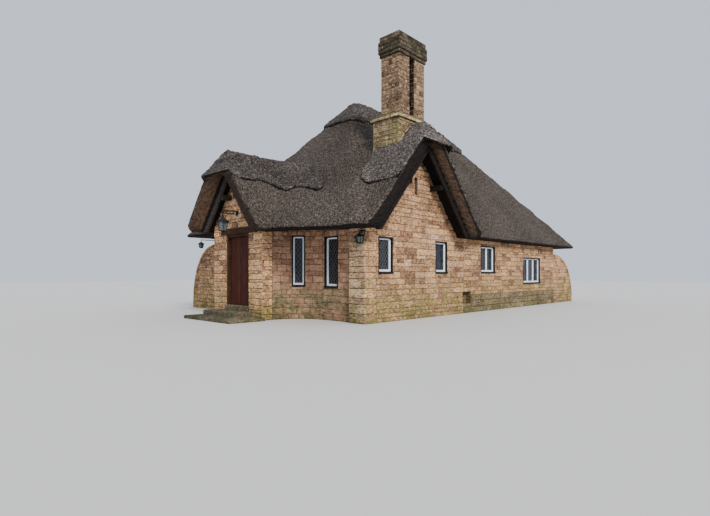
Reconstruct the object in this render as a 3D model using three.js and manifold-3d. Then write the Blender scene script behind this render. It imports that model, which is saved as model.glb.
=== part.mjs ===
// A thatched stone cottage: one long hipped roof, a cross gable with a chimney on it, and a gabled porch.
// Millimetres, +Z up. X runs along the front wall, Y runs in from it, and Z starts at ground level.
// Every measure below is taken from the front left corner of the house; the last group moves the origin
// to the middle of the main floor's underside.
import * as THREE from "three";
import { mergeVertices } from "three/addons/utils/BufferGeometryUtils.js";
import { ConvexGeometry } from "three/addons/geometries/ConvexGeometry.js";
import Module from "manifold-3d";

const wasm = await Module();
wasm.setup();

// The house
const LENGTH = 11650;
const DEPTH = 7000;
const WALL = 500;
const FLOOR_TOP = 350;
const GAP = 0.3;
const WALL_LIMIT = 5200;

// How far a cutting piece runs past what it cuts, and a length that passes any roof form
const OVER = 10;
const FAR = 3000;

// Thatch: pitches in degrees, thickness square to the slope, and the height of the eaves
const THATCH = 440;
const EAVE = 2320;
const EAVE_LIP = 150;
const MAIN = { x0: -800, x1: 13000, y0: -350, y1: 7600, ridge0: 3180, ridge1: 8680, ridgeY: 3500, top: 7080 };
const MAIN_PITCH = 50;
const GABLE = { x: 1950, half: 2590, front: -600, back: 3000, apex: 5430, pitch: 49, round: 380 };
const PORCH = { y: 3780, half: 1810, front: -1890, back: 2400, apex: 4755, pitch: 51.6, round: 430 };
const CORNER = { x0: -1800, y0: 1950, x1: -660, y1: -500, pitch: 35, back: 3780, lip: 70, longer: 600 };

// Valleys in plan: where the ridges of the gable and the porch end, and where the valleys meet the eaves
const VALLEY = {
  gableTip: 1900,
  gableLeft: [-500, -130],
  gableRight: [4530, -350],
  porchTip: 1180,
  porchLeft: 5590,
  porchRight: 1834,
};

// How far each verge leans back from its top edge to its lower one
const LEAN = { gable: 100, porch: 200 };

// The eaves behind the porch are higher. They start under the porch roof, flatten the foot of the main
// roof and come down again along the back.
const HIGH_EAVE = { by: 150, porchY: 5470, roomY: 4400, startY: 4940, reach: 700, downX: 3000 };

// Ridge caps: how far they are raised, the heights of their lower edges, how far the porch's runs past
// its valley, the gable's reach to the right and short of the stack, and the slope of each hood
const CAP = 110;
const CAP_LOW = { main: 6200, porch: 3850, gableLeft: 3830, gableRight: 4620 };
const CAP_PAST = { porch: 700, right: 1500, back: 180 };
const HOOD = {
  thick: 100,
  gable: { front: -750, z: 4710, slope: 1.5 },
  porch: { front: -1980, z: 3960, slope: 1.74 },
};
const INNER_ROUND = 60;

// Porch walls
const PORCH_X = -1280;
const PORCH_WALL = 330;
const PORCH_Y0 = 2585;
const PORCH_Y1 = 4970;
const CURVE = 950;
const CURVE_X = PORCH_X + PORCH_WALL;
const CURVE_Y = PORCH_Y0 - CURVE;

// Doorway and door
const DOOR = { y0: 3200, y1: 4300, top: 2350, frame: 80, clear: 6, leaf: 45, outer: -1195 };
const LINTEL = { y0: 2980, y1: 4560, high: 150, proud: 25 };
const HINGE = { heights: [760, 1960], barrel: 9, high: 90, block: 60, bite: 20, from: 1, to: 45 };
const HINGE_AXIS = { behind: 5, aside: 3 };
const DOOR_FRAME_SET = { front: 20, back: 10 };
const SILL_NOSE = 60;

// Pier at the front left corner
const PIER = { x0: -100, x1: 300, y1: 540 };

// Windows in the front wall: left, right, sill, head and the number of lights
const FRONT_WINDOWS = [
  { name: "window_3", a: 390, b: 960, z0: 1240, z1: 2170, lights: 1 },
  { name: "window_4", a: 2910, b: 3520, z0: 1240, z1: 2170, lights: 1 },
  { name: "window_5", a: 5530, b: 6500, z0: 1250, z1: 2150, lights: 2 },
  { name: "window_6", a: 8730, b: 10270, z0: 850, z1: 1840, lights: 3 },
];
const LEFT_WINDOW = { name: "window_2", a: 1050, b: 1560, z0: 860, z1: 2220, lights: 1 };
const CURVE_WINDOW = { name: "window_1", wide: 360, z0: 880, z1: 2280, angle: 45 };
const BACK_WINDOW = { name: "back_window", a: 5000, b: 6540, z0: 850, z1: 1840, lights: 3 };
const FRAME_DEPTH = 70;
const FRAME_BAR = 55;
const FRAME_SET_BACK = 30;
const SILL = { high: 45, proud: 45 };
const GLASS = 6;
const SLIT = { x: 1970, wide: 130, z0: 3400, z1: 3860 };
const HATCH = { x0: 4390, x1: 4900, z0: 300, z1: 660, deep: 160 };
const GABLE_WALL_END = 4300;

// Chimney
const STACK = { x0: 1246, x1: 2756, y0: 37, y1: 927, foot: 4250, shoulder: 5400, ledge: 80, proud: 50 };
const SHAFT = { x0: 1430, x1: 2576, y0: 165, y1: 790, z0: 5620, z1: 7200 };
const FLUE_SLOT = { x0: 1885, x1: 2100, deep: 200 };
const CROWN = [
  { z0: 7200, z1: 7300, out: 35 },
  { z0: 7300, z1: 7620, out: 62 },
  { z0: 7620, z1: 7770, out: 35 },
];
const FLUE = { wide: 240, long: 260, x: [1660, 2340] };

// Boards under the verges, and the purlin ends behind them, each at a share of the way down its board
const BOARD = { high: 160, thick: 60, gable: -430, porch: -1600, belowEave: 20 };
const PURLIN = { wide: 130, high: 130, behind: 40, bite: 25, gable: 0.38, porch: 0.26 };

// Steps, wing walls and lanterns
const LOWER_STEP = { x0: -2350, x1: -1281, y0: 2450, y1: 4750, top: 90 };
const STEP = { x0: -1850, x1: -1281, y0: 3000, y1: 4600, top: 220 };
const WING = { thick: 350, power: 2.3, points: 14 };
const WINGS = {
  right: { long: 2120, high: 2030 },
  left: { long: 1650, high: 2250 },
};
const LANTERNS = [
  { name: "porch_lantern", x: PORCH_X, y: 3740, z: 2960, reach: 460, body: 150, high: 520, arms: 2 },
  { name: "left_lantern", x: 0, y: 6880, z: 2360, reach: 660, body: 95, high: 270, arms: 1 },
  { name: "right_lantern", x: PIER.x0, y: 50, z: 2290, reach: 150, body: 105, high: 320, arms: 1 },
];

const COLOURS = {
  stone: [0xb08a5e, 0.95, 0],
  thatch: [0x5a4c41, 1, 0],
  cap: [0x6e645a, 1, 0],
  timber: [0x241d19, 0.8, 0],
  door: [0x46201a, 0.6, 0],
  frame: [0xe8e6e0, 0.5, 0],
  glass: [0x26303a, 0.1, 0],
  iron: [0x1c2320, 0.5, 0.7],
};

const radians = (degrees) => (degrees * Math.PI) / 180;
const rise = (pitch) => Math.tan(radians(pitch));
const plumb = (thickness, pitch) => thickness / Math.cos(radians(pitch));

// Closed three.js geometry to a solid that can be joined and cut
function solid(geometry) {
  const bare = geometry.clone();
  bare.deleteAttribute("normal");
  bare.deleteAttribute("uv");
  const merged = mergeVertices(bare, 1e-3);
  return new wasm.Manifold(
    new wasm.Mesh({
      numProp: 3,
      vertProperties: merged.attributes.position.array,
      triVerts: new Uint32Array(merged.index.array),
    }),
  );
}

function box(x0, x1, y0, y1, z0, z1) {
  const geometry = new THREE.BoxGeometry(x1 - x0, y1 - y0, z1 - z0);
  geometry.translate((x0 + x1) / 2, (y0 + y1) / 2, (z0 + z1) / 2);
  return solid(geometry);
}

function hull(points) {
  return solid(new ConvexGeometry(points.map((p) => new THREE.Vector3(...p))));
}

function outline(points) {
  return new THREE.Shape(points.map((p) => new THREE.Vector2(...p)));
}

// An outline in plan, raised from z0 to z1
function raised(shape, z0, z1, curveSegments = 12) {
  const geometry = new THREE.ExtrudeGeometry(shape, { depth: z1 - z0, bevelEnabled: false, curveSegments });
  geometry.translate(0, 0, z0);
  return solid(geometry);
}

// An outline of x and z, run along y
function alongY(shape, y0, y1, curveSegments = 6) {
  const geometry = new THREE.ExtrudeGeometry(shape, { depth: y1 - y0, bevelEnabled: false, curveSegments });
  geometry.rotateX(Math.PI / 2);
  geometry.translate(0, y1, 0);
  return solid(geometry);
}

// An outline of y and z, run along x
function alongX(shape, x0, x1, curveSegments = 6) {
  const geometry = new THREE.ExtrudeGeometry(shape, { depth: x1 - x0, bevelEnabled: false, curveSegments });
  geometry.rotateX(Math.PI / 2);
  geometry.rotateZ(Math.PI / 2);
  geometry.translate(x0, 0, 0);
  return solid(geometry);
}

const join = (first, ...rest) => rest.reduce((sum, piece) => sum.add(piece), first);
const cut = (first, ...rest) => rest.reduce((left, piece) => left.subtract(piece), first);

const root = new THREE.Group();
const house = new THREE.Group();
house.position.set(-LENGTH / 2, -DEPTH / 2, 0);
root.add(house);

function add(name, piece, look) {
  const mesh = piece.getMesh();
  const geometry = new THREE.BufferGeometry();
  geometry.setAttribute("position", new THREE.BufferAttribute(new Float32Array(mesh.vertProperties), 3));
  geometry.setIndex(new THREE.BufferAttribute(mesh.triVerts, 1));
  geometry.computeVertexNormals();
  const [color, roughness, metalness] = COLOURS[look];
  const made = new THREE.Mesh(geometry, new THREE.MeshStandardMaterial({ color, roughness, metalness }));
  made.name = name;
  house.add(made);
}

// Roof forms. Each is the outer form let down by a drop: none for the outside, more for the inside.

// The lowest level of a form: the eaves outside, and well below them inside
const lowest = (drop) => (drop ? EAVE - drop - THATCH : EAVE);

function hippedForm(drop) {
  const { x0, x1, y0, y1, ridge0, ridge1, ridgeY, top } = MAIN;
  const foot = EAVE + EAVE_LIP - drop;
  const low = lowest(drop);
  const points = [
    [ridge0, ridgeY, top - drop],
    [ridge1, ridgeY, top - drop],
  ];
  for (const z of [foot, low])
    points.push([x0, y0, z], [x1, y0, z], [x1, y1, z], [x0, y1, z]);
  return hull(points);
}

// Section of a gable: two straight slopes that meet in a round ridge
function gableSection(centre, gable, drop) {
  const r = drop ? INNER_ROUND : gable.round;
  const axis = gable.apex - drop - plumb(r, gable.pitch);
  const turn = radians(90 - gable.pitch);
  const low = lowest(drop);
  const foot = gable.apex - drop - gable.half * rise(gable.pitch);
  const shape = new THREE.Shape();
  shape.moveTo(centre - gable.half, low);
  shape.lineTo(centre + gable.half, low);
  if (foot > low + 1) shape.lineTo(centre + gable.half, foot);
  shape.absarc(centre, axis, r, turn, Math.PI - turn, false);
  if (foot > low + 1) shape.lineTo(centre - gable.half, foot);
  return shape;
}

function gableForm(drop, front = GABLE.front) {
  return alongY(gableSection(GABLE.x, GABLE, drop), front, GABLE.back);
}

function porchForm(drop, front = PORCH.front) {
  return alongX(gableSection(PORCH.y, PORCH, drop), front, PORCH.back);
}

// What is cut away under a verge, from the outer form in front to the inner one behind
function vergeOff(centre, gable, lean, place) {
  const points = [];
  const steps = [
    [0, gable.front],
    [plumb(THATCH, gable.pitch), gable.front + lean],
  ];
  for (const [drop, at] of steps)
    for (const { x, y } of gableSection(centre, gable, drop).getPoints(6)) points.push(place(x, y, at));
  return hull(points);
}
const gableVergeOff = vergeOff(GABLE.x, GABLE, LEAN.gable, (x, z, y) => [x, y, z]);
const porchVergeOff = vergeOff(PORCH.y, PORCH, LEAN.porch, (y, z, x) => [x, y, z]);

// What a hood takes off a gable: all that lies in front of its sloping face, set back by a depth
function hoodOff({ front, z, slope }, setBack, run) {
  const start = front + setBack;
  const side = outline([
    [start, z],
    [start + FAR / slope, z + FAR],
    [start - FAR, z + FAR],
    [start - FAR, z],
  ]);
  return run(side);
}
const acrossGable = (side) => alongX(side, GABLE.x - FAR, GABLE.x + FAR);
const acrossPorch = (side) => alongY(side, PORCH.y - FAR, PORCH.y + FAR);
const gableHoodOff = (setBack) => hoodOff(HOOD.gable, setBack, acrossGable);
const porchHoodOff = (setBack) => hoodOff(HOOD.porch, setBack, acrossPorch);

// The slope over the straight eave that runs from the porch to the cross gable
function cornerForm(drop) {
  const { x0, y0, x1, y1, pitch, back, lip } = CORNER;
  const long = Math.hypot(x1 - x0, y1 - y0);
  const inX = -(y1 - y0) / long;
  const inY = (x1 - x0) / long;
  const longer = drop ? CORNER.longer : 0;
  const high = EAVE + lip - drop + FAR * rise(pitch);
  const low = lowest(drop);
  const ends = [
    [x0 - inY * longer, y0 + inX * longer],
    [x1 + inY * longer, y1 - inX * longer],
  ];
  const points = [];
  for (const [x, y] of ends) {
    points.push([x, y, low], [x, y, EAVE + lip - drop]);
    points.push([x + inX * FAR, y + inY * FAR, low], [x + inX * FAR, y + inY * FAR, high]);
  }
  const limit = box(x0 - FAR, x0 + 2 * FAR, y1 - FAR, back, low - OVER, high + OVER);
  return hull(points).intersect(limit);
}

// The high eaves: what they leave open below, what they add on top and what they cut off the porch
const highEaveUnder = EAVE + HIGH_EAVE.by;
const highEaveRoom = hull(
  [HIGH_EAVE.roomY, MAIN.y1 + FAR].flatMap((y) => [
    [MAIN.x0 - FAR, y, 0],
    [MAIN.x0 - FAR, y, highEaveUnder],
    [0, y, highEaveUnder],
    [HIGH_EAVE.downX, y, EAVE],
    [HIGH_EAVE.downX, y, 0],
  ]),
);

function highEaveForm() {
  const { x0, y1, ridge0, ridgeY, top } = MAIN;
  const { by, startY, reach, downX } = HIGH_EAVE;
  const foot = EAVE + EAVE_LIP;
  const upZ = foot + (reach * (top - foot)) / (ridge0 - x0);
  const upX = x0 + reach;
  const upY = y1 - ((upZ - foot) * (y1 - ridgeY)) / (top - foot);
  return hull([
    [x0, startY, foot + by],
    [x0, y1, foot + by],
    [downX, y1, foot],
    [upX, startY, upZ],
    [upX, upY, upZ],
    [downX, upY, upZ],
    [x0, startY, EAVE],
    [x0, y1, EAVE],
    [downX, y1, EAVE],
    [downX, startY, EAVE],
  ]);
}
const porchEaveOff = box(MAIN.x0 - FAR, MAIN.x0, HIGH_EAVE.porchY, MAIN.y1, 0, MAIN.top);

const outerRoof = join(
  hippedForm(0),
  highEaveForm(),
  gableForm(0).subtract(gableHoodOff(HOOD.thick)).subtract(gableVergeOff),
  porchForm(0).subtract(porchHoodOff(HOOD.thick)).subtract(porchVergeOff),
  cornerForm(0),
).subtract(porchEaveOff);
const innerRoof = join(
  highEaveRoom,
  hippedForm(plumb(THATCH, MAIN_PITCH)),
  gableForm(plumb(THATCH, GABLE.pitch), GABLE.front - FAR),
  porchForm(plumb(THATCH, PORCH.pitch), PORCH.front - FAR),
  cornerForm(plumb(THATCH, CORNER.pitch)),
);
const stackHole = box(
  STACK.x0 - GAP,
  STACK.x1 + GAP,
  STACK.y0 - GAP,
  STACK.y1 + GAP,
  STACK.foot,
  MAIN.top + FAR,
);
const thatch = outerRoof.subtract(innerRoof).subtract(stackHole);
const thatchSeat = thatch.translate([0, 0, -2 * GAP]);

// Regions of the roof in plan, each bounded by its valleys and hips
const gableTip = [GABLE.x, VALLEY.gableTip];
const leftEnd = [MAIN.ridge0, MAIN.ridgeY];
const rightEnd = [MAIN.ridge1, MAIN.ridgeY];
const porchTip = [VALLEY.porchTip, PORCH.y];
const along = (from, to, t) => [from[0] + (to[0] - from[0]) * t, from[1] + (to[1] - from[1]) * t];
const gableLeftFoot = along(gableTip, VALLEY.gableLeft, 1.6);
const gableRightFoot = along(gableTip, VALLEY.gableRight, 1.6);
const porchLeftFoot = along(porchTip, [MAIN.x0, VALLEY.porchLeft], 1.8);
const porchRightFoot = along(porchTip, [PORCH.front, VALLEY.porchRight], 1.3);
const backLeft = along(leftEnd, [MAIN.x0, MAIN.y1], 1.3);
const frontRight = along(rightEnd, [MAIN.x1, MAIN.y0], 1.3);
const backRight = along(rightEnd, [MAIN.x1, MAIN.y1], 1.3);

const REGIONS = {
  thatch_gable: [gableLeftFoot, gableRightFoot, gableTip],
  thatch_porch: [porchLeftFoot, porchRightFoot, porchTip],
  thatch_corner: [gableLeftFoot, gableTip, leftEnd, porchTip, porchRightFoot],
  thatch_left: [porchLeftFoot, porchTip, leftEnd, backLeft],
  thatch_front: [gableTip, gableRightFoot, frontRight, rightEnd, leftEnd],
  thatch_back: [leftEnd, rightEnd, backRight, backLeft],
  thatch_right: [rightEnd, frontRight, backRight],
};

// An outline drawn in by half a gap on every side
function drawnIn(points, inset) {
  const turned = THREE.ShapeUtils.area(points.map((p) => new THREE.Vector2(...p))) < 0;
  const ring = turned ? [...points].reverse() : points;
  return ring.map((here, i) => {
    const before = ring[(i + ring.length - 1) % ring.length];
    const after = ring[(i + 1) % ring.length];
    const a = new THREE.Vector2(here[0] - before[0], here[1] - before[1]).normalize();
    const b = new THREE.Vector2(after[0] - here[0], after[1] - here[1]).normalize();
    const share = inset / (1 + a.dot(b));
    return [here[0] - (a.y + b.y) * share, here[1] + (a.x + b.x) * share];
  });
}

for (const [name, region] of Object.entries(REGIONS)) {
  const prism = raised(outline(drawnIn(region, GAP / 2)), 0, MAIN.top + FAR);
  add(name, thatch.intersect(prism), "thatch");
}

// Ridge caps: a second coat over each ridge, lying on the thatch
function capOver(form, under, limit) {
  const lifted = [outerRoof, under].map((piece) => piece.translate([0, 0, GAP]));
  return cut(form.translate([0, 0, CAP]).intersect(limit), ...lifted, stackHole);
}

const roofTop = MAIN.top + CAP + OVER;
const mainCap = capOver(hippedForm(0), outerRoof, box(0, LENGTH, 0, DEPTH, CAP_LOW.main, roofTop));
add("ridge_cap_main", mainCap, "cap");

// A cap over a gable, which ends in front in a sloping hood
const porchUnder = porchForm(0, PORCH.front - FAR).subtract(porchHoodOff(HOOD.thick));
const porchOver = porchForm(0, HOOD.porch.front).subtract(porchHoodOff(0).translate([0, 0, -CAP]));
const porchCapLimit = box(HOOD.porch.front, porchTip[0] + CAP_PAST.porch, 0, DEPTH, CAP_LOW.porch, roofTop);
add("ridge_cap_porch", capOver(porchOver, porchUnder, porchCapLimit), "cap");

const gableUnder = gableForm(0, GABLE.front - FAR).subtract(gableHoodOff(HOOD.thick));
const gableOver = gableForm(0, HOOD.gable.front).subtract(gableHoodOff(0).translate([0, 0, -CAP]));
const gableCapY = [HOOD.gable.front, STACK.y1 - CAP_PAST.back];
const gableCapLimit = join(
  box(0, GABLE.x, ...gableCapY, CAP_LOW.gableLeft, roofTop),
  box(GABLE.x, GABLE.x + CAP_PAST.right, ...gableCapY, CAP_LOW.gableRight, roofTop),
);
add("ridge_cap_gable", capOver(gableOver, gableUnder, gableCapLimit), "cap");

// Walls. Each runs up to the underside of the thatch.
const underRoof = (wall) => wall.subtract(thatchSeat).intersect(innerRoofBelow);
const innerRoofBelow = join(
  innerRoof.translate([0, 0, -2 * GAP]),
  box(-FAR, LENGTH + FAR, -FAR, DEPTH + FAR, -OVER, EAVE - 2 * GAP),
);

// Hole for a window in a wall that runs along x or along y
const holeX = (w, y0, y1) => box(w.a, w.b, y0, y1, w.z0, w.z1);
const holeY = (w, x0, x1) => box(x0, x1, w.a, w.b, w.z0, w.z1);
const past = 300;

const [window3, window4, window5, window6] = FRONT_WINDOWS;
const slit = box(SLIT.x - SLIT.wide / 2, SLIT.x + SLIT.wide / 2, -past, WALL + past, SLIT.z0, SLIT.z1);
const stackSeat = box(
  STACK.x0 - GAP,
  STACK.x1 + GAP,
  -past,
  STACK.y1 + GAP,
  STACK.foot - GAP,
  WALL_LIMIT + OVER,
);
const gableWall = cut(
  box(PIER.x1 + GAP, GABLE_WALL_END - GAP, 0, WALL, 0, WALL_LIMIT),
  holeX(window3, -past, WALL + past),
  holeX(window4, -past, WALL + past),
  slit,
  stackSeat,
);
add("front_gable_wall", underRoof(gableWall), "stone");

const frontWall = cut(
  box(GABLE_WALL_END, LENGTH, 0, WALL, 0, WALL_LIMIT),
  holeX(window5, -past, WALL + past),
  holeX(window6, -past, WALL + past),
  box(HATCH.x0, HATCH.x1, -past, HATCH.deep, HATCH.z0, HATCH.z1),
);
add("front_wall", underRoof(frontWall), "stone");
const rightWall = box(LENGTH - WALL, LENGTH, WALL + GAP, DEPTH - WALL - GAP, 0, WALL_LIMIT);
add("right_wall", underRoof(rightWall), "stone");
const backWall = cut(
  box(0, LENGTH, DEPTH - WALL, DEPTH, 0, WALL_LIMIT),
  holeX(BACK_WINDOW, DEPTH - WALL - past, DEPTH + past),
);
add("back_wall", underRoof(backWall), "stone");
const rearStart = PORCH_Y1 - PORCH_WALL;
add("left_wall_rear", underRoof(box(0, WALL, rearStart, DEPTH - WALL - GAP, 0, WALL_LIMIT)), "stone");
add("corner_pier", underRoof(box(PIER.x0, PIER.x1, 0, PIER.y1, 0, WALL_LIMIT)), "stone");
const leftWall = cut(
  box(0, WALL, WALL + GAP, CURVE_Y - GAP, 0, WALL_LIMIT),
  box(PIER.x0, PIER.x1 + GAP, 0, PIER.y1 + GAP, -OVER, WALL_LIMIT + OVER),
  holeY(LEFT_WINDOW, -past, WALL + past),
);
add("left_wall_front", underRoof(leftWall), "stone");

// Curved wall between the porch and the house, in two halves that meet at its window
function ringSector(inner, outer, from, to, z0, z1) {
  const shape = new THREE.Shape();
  shape.absarc(CURVE_X, CURVE_Y, outer, radians(from), radians(to), false);
  shape.absarc(CURVE_X, CURVE_Y, inner, radians(to), radians(from), true);
  return raised(shape, z0, z1, 4);
}

// A box set on the curve at an angle: its depth is measured from the curved face, inwards
function onCurve(angle, wide, d0, d1, z0, z1) {
  const piece = box(CURVE + d0, CURVE + d1, -wide / 2, wide / 2, z0, z1);
  return piece.rotate([0, 0, angle]).translate([CURVE_X, CURVE_Y, 0]);
}

const cw = CURVE_WINDOW;
const curveHole = onCurve(cw.angle, cw.wide, -past, WALL + past, cw.z0, cw.z1);
const halfGap = 0.02;
add(
  "curved_wall_south",
  underRoof(cut(ringSector(CURVE, CURVE + WALL, halfGap, cw.angle - halfGap, 0, WALL_LIMIT), curveHole)),
  "stone",
);
add(
  "curved_wall_north",
  underRoof(cut(ringSector(CURVE, CURVE + WALL, cw.angle + halfGap, 90 - halfGap, 0, WALL_LIMIT), curveHole)),
  "stone",
);

// Door wall, split beside and over the doorway
const lintelSeat = box(
  PORCH_X - LINTEL.proud,
  PORCH_X + PORCH_WALL / 2 + GAP,
  LINTEL.y0 - GAP,
  LINTEL.y1 + GAP,
  DOOR.top - GAP,
  DOOR.top + LINTEL.high + GAP,
);
const doorWall = (y0, y1, z0, z1) => underRoof(cut(box(PORCH_X, CURVE_X - GAP, y0, y1, z0, z1), lintelSeat));
add("door_wall_right", doorWall(PORCH_Y0, DOOR.y0, 0, DOOR.top - GAP), "stone");
add("door_wall_left", doorWall(DOOR.y1, PORCH_Y1, 0, DOOR.top - GAP), "stone");
add("door_wall_over", doorWall(PORCH_Y0, PORCH_Y1, DOOR.top, WALL_LIMIT), "stone");
add("porch_side_wall", underRoof(box(CURVE_X, -GAP, rearStart, PORCH_Y1, 0, WALL_LIMIT)), "stone");
add(
  "door_lintel",
  box(
    PORCH_X - LINTEL.proud,
    PORCH_X + PORCH_WALL / 2,
    LINTEL.y0,
    LINTEL.y1,
    DOOR.top,
    DOOR.top + LINTEL.high,
  ),
  "timber",
);

// Floors
add("floor", box(WALL + GAP, LENGTH - WALL - GAP, WALL + GAP, DEPTH - WALL - GAP, 0, FLOOR_TOP), "stone");
const curveDisc = new THREE.CylinderGeometry(CURVE + WALL + GAP, CURVE + WALL + GAP, 2 * FLOOR_TOP, 64);
curveDisc.rotateX(Math.PI / 2);
curveDisc.translate(CURVE_X, CURVE_Y, FLOOR_TOP / 2);
const porchFloor = cut(
  box(CURVE_X + GAP, WALL, CURVE_Y + GAP, rearStart - GAP, 0, FLOOR_TOP),
  solid(curveDisc),
);
add("porch_floor", porchFloor, "stone");
add("door_sill", box(PORCH_X - SILL_NOSE, CURVE_X, DOOR.y0 + GAP, DOOR.y1 - GAP, 0, FLOOR_TOP), "stone");

// Door frame with two hinge blocks, and the leaf with the barrels that stand on them
const frameTop = DOOR.top - GAP;
const jambs = [DOOR.y0 + GAP, DOOR.y1 - GAP];
const clear0 = jambs[0] + DOOR.frame;
const clear1 = jambs[1] - DOOR.frame;
const leaf = {
  x0: DOOR.outer,
  x1: DOOR.outer + DOOR.leaf,
  y0: clear0 + DOOR.clear,
  y1: clear1 - DOOR.clear,
  z0: FLOOR_TOP + DOOR.clear,
  z1: frameTop - DOOR.frame - DOOR.clear,
};
const frameFront = PORCH_X + DOOR_FRAME_SET.front;
const frameBack = leaf.x1 - DOOR_FRAME_SET.back;
const axis = { x: leaf.x1 + HINGE_AXIS.behind, y: clear1 - HINGE_AXIS.aside };

const doorFrame = cut(
  box(frameFront, frameBack, jambs[0], jambs[1], FLOOR_TOP + GAP, frameTop),
  box(frameFront - 1, frameBack + 1, clear0, clear1, 0, frameTop - DOOR.frame),
);
const blockX = [frameBack - HINGE.bite, axis.x + HINGE.barrel];
const hingeBlocks = HINGE.heights.map((z) =>
  box(...blockX, clear1 + HINGE.from, clear1 + HINGE.to, z - HINGE.block, z),
);
add("door_frame", join(doorFrame, ...hingeBlocks), "timber");

function barrel(z) {
  const geometry = new THREE.CylinderGeometry(HINGE.barrel, HINGE.barrel, HINGE.high, 12);
  geometry.rotateX(Math.PI / 2);
  geometry.translate(axis.x, axis.y, z + GAP + HINGE.high / 2);
  return solid(geometry);
}

const HANDLE = { y: leaf.y0 + 75, z: 1330, plate: 45, high: 170, out: 55, lever: 120, thick: 18 };
function handle(side) {
  const face = side < 0 ? leaf.x0 : leaf.x1;
  const { y, z, plate, high, out, lever, thick } = HANDLE;
  const across = (near, to) => [face + side * near, face + side * to].sort((a, b) => a - b);
  return join(
    box(...across(-2, 8), y - plate / 2, y + plate / 2, z - high / 2, z + high / 2),
    box(...across(-2, out), y - thick / 2, y + thick / 2, z, z + thick),
    box(...across(out - thick, out), y - thick / 2, y + lever, z, z + thick),
  );
}
const panel = box(leaf.x0, leaf.x1, leaf.y0, leaf.y1, leaf.z0, leaf.z1);
add("door_leaf", join(panel, handle(-1), handle(1), ...HINGE.heights.map(barrel)), "door");

// Steps
const sillSeat = box(PORCH_X - SILL_NOSE - GAP, PORCH_X, DOOR.y0, DOOR.y1, -1, FLOOR_TOP);
const stepSeat = box(STEP.x0 - GAP, STEP.x1 + 1, STEP.y0 - GAP, STEP.y1 + GAP, -1, STEP.top);
const slab = ({ x0, x1, y0, y1, top }) => box(x0, x1, y0, y1, 0, top);
add("lower_step", cut(slab(LOWER_STEP), stepSeat, sillSeat), "stone");
add("upper_step", cut(slab(STEP), sillSeat), "stone");

// Swept wing walls
function wingOutline({ long, high }) {
  const points = [
    [0, 0],
    [long, 0],
  ];
  for (let i = 1; i <= WING.points; i += 1) {
    const turn = (i / WING.points) * (Math.PI / 2);
    const s = long * Math.cos(turn) ** (2 / WING.power);
    const z = high * Math.sin(turn) ** (2 / WING.power);
    points.push([Math.max(s, 0), z]);
  }
  return points;
}
const rightWing = outline(wingOutline(WINGS.right).map(([s, z]) => [LENGTH + GAP + s, z]));
add("wing_wall_right", alongY(rightWing, 0, WING.thick), "stone");
const leftWing = outline(wingOutline(WINGS.left).map(([s, z]) => [DEPTH + GAP + s, z]));
add("wing_wall_left", alongX(leftWing, 0, WING.thick), "stone");

// Windows: a frame with its mullions and sill, and a pane behind them
function frameSolid(wide, high, lights) {
  const clearWide = (wide - (lights + 1) * FRAME_BAR) / lights;
  let frame = box(-wide / 2 + GAP, wide / 2 - GAP, 0, FRAME_DEPTH, GAP, high - GAP);
  for (let i = 0; i < lights; i += 1) {
    const left = -wide / 2 + FRAME_BAR + i * (clearWide + FRAME_BAR);
    const lightZ = [FRAME_BAR + SILL.high, high - FRAME_BAR];
    const light = box(left, left + clearWide, -OVER, FRAME_DEPTH + OVER, ...lightZ);
    frame = cut(frame, light);
  }
  return join(frame, box(-wide / 2 + GAP, wide / 2 - GAP, -SILL.proud - FRAME_SET_BACK, 5, GAP, SILL.high));
}

function paneSolid(wide, high) {
  return box(-wide / 2 + GAP, wide / 2 - GAP, FRAME_DEPTH + GAP, FRAME_DEPTH + GAP + GLASS, GAP, high - GAP);
}

// A window is made facing -Y at the origin, turned, and set back from its wall's face
function addWindow(name, wide, high, lights, turn, place) {
  const set = (piece) => piece.rotate([0, 0, turn]).translate(place);
  add(name + "_frame", set(frameSolid(wide, high, lights)), "frame");
  add(name + "_glass", set(paneSolid(wide, high)), "glass");
}

for (const w of FRONT_WINDOWS)
  addWindow(w.name, w.b - w.a, w.z1 - w.z0, w.lights, 0, [(w.a + w.b) / 2, FRAME_SET_BACK, w.z0]);
const lw = LEFT_WINDOW;
addWindow(lw.name, lw.b - lw.a, lw.z1 - lw.z0, lw.lights, -90, [FRAME_SET_BACK, (lw.a + lw.b) / 2, lw.z0]);
const bw = BACK_WINDOW;
const backPlace = [(bw.a + bw.b) / 2, DEPTH - FRAME_SET_BACK, bw.z0];
addWindow(bw.name, bw.b - bw.a, bw.z1 - bw.z0, bw.lights, 180, backPlace);
const facing = radians(cw.angle);
const curveSet = CURVE + FRAME_SET_BACK;
addWindow(cw.name, cw.wide, cw.z1 - cw.z0, 1, cw.angle - 90, [
  CURVE_X + curveSet * Math.cos(facing),
  CURVE_Y + curveSet * Math.sin(facing),
  cw.z0,
]);

// Chimney
const ledgeTop = STACK.shoulder + STACK.ledge;
const wider = (by, z) => [
  [STACK.x0 - by, STACK.y0 - by, z],
  [STACK.x1 + by, STACK.y0 - by, z],
  [STACK.x1 + by, STACK.y1 + by, z],
  [STACK.x0 - by, STACK.y1 + by, z],
];
const shaftFoot = [
  [SHAFT.x0, SHAFT.y0, SHAFT.z0 - GAP],
  [SHAFT.x1, SHAFT.y0, SHAFT.z0 - GAP],
  [SHAFT.x1, SHAFT.y1, SHAFT.z0 - GAP],
  [SHAFT.x0, SHAFT.y1, SHAFT.z0 - GAP],
];
add(
  "chimney_base",
  join(
    hull([...wider(0, STACK.foot), ...wider(0, STACK.shoulder + 1)]),
    hull([...wider(STACK.proud, STACK.shoulder), ...wider(STACK.proud, ledgeTop)]),
    hull([...wider(0, ledgeTop - 1), ...shaftFoot]),
  ),
  "stone",
);
const slotZ = [SHAFT.z0 - OVER, SHAFT.z1 + OVER];
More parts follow.
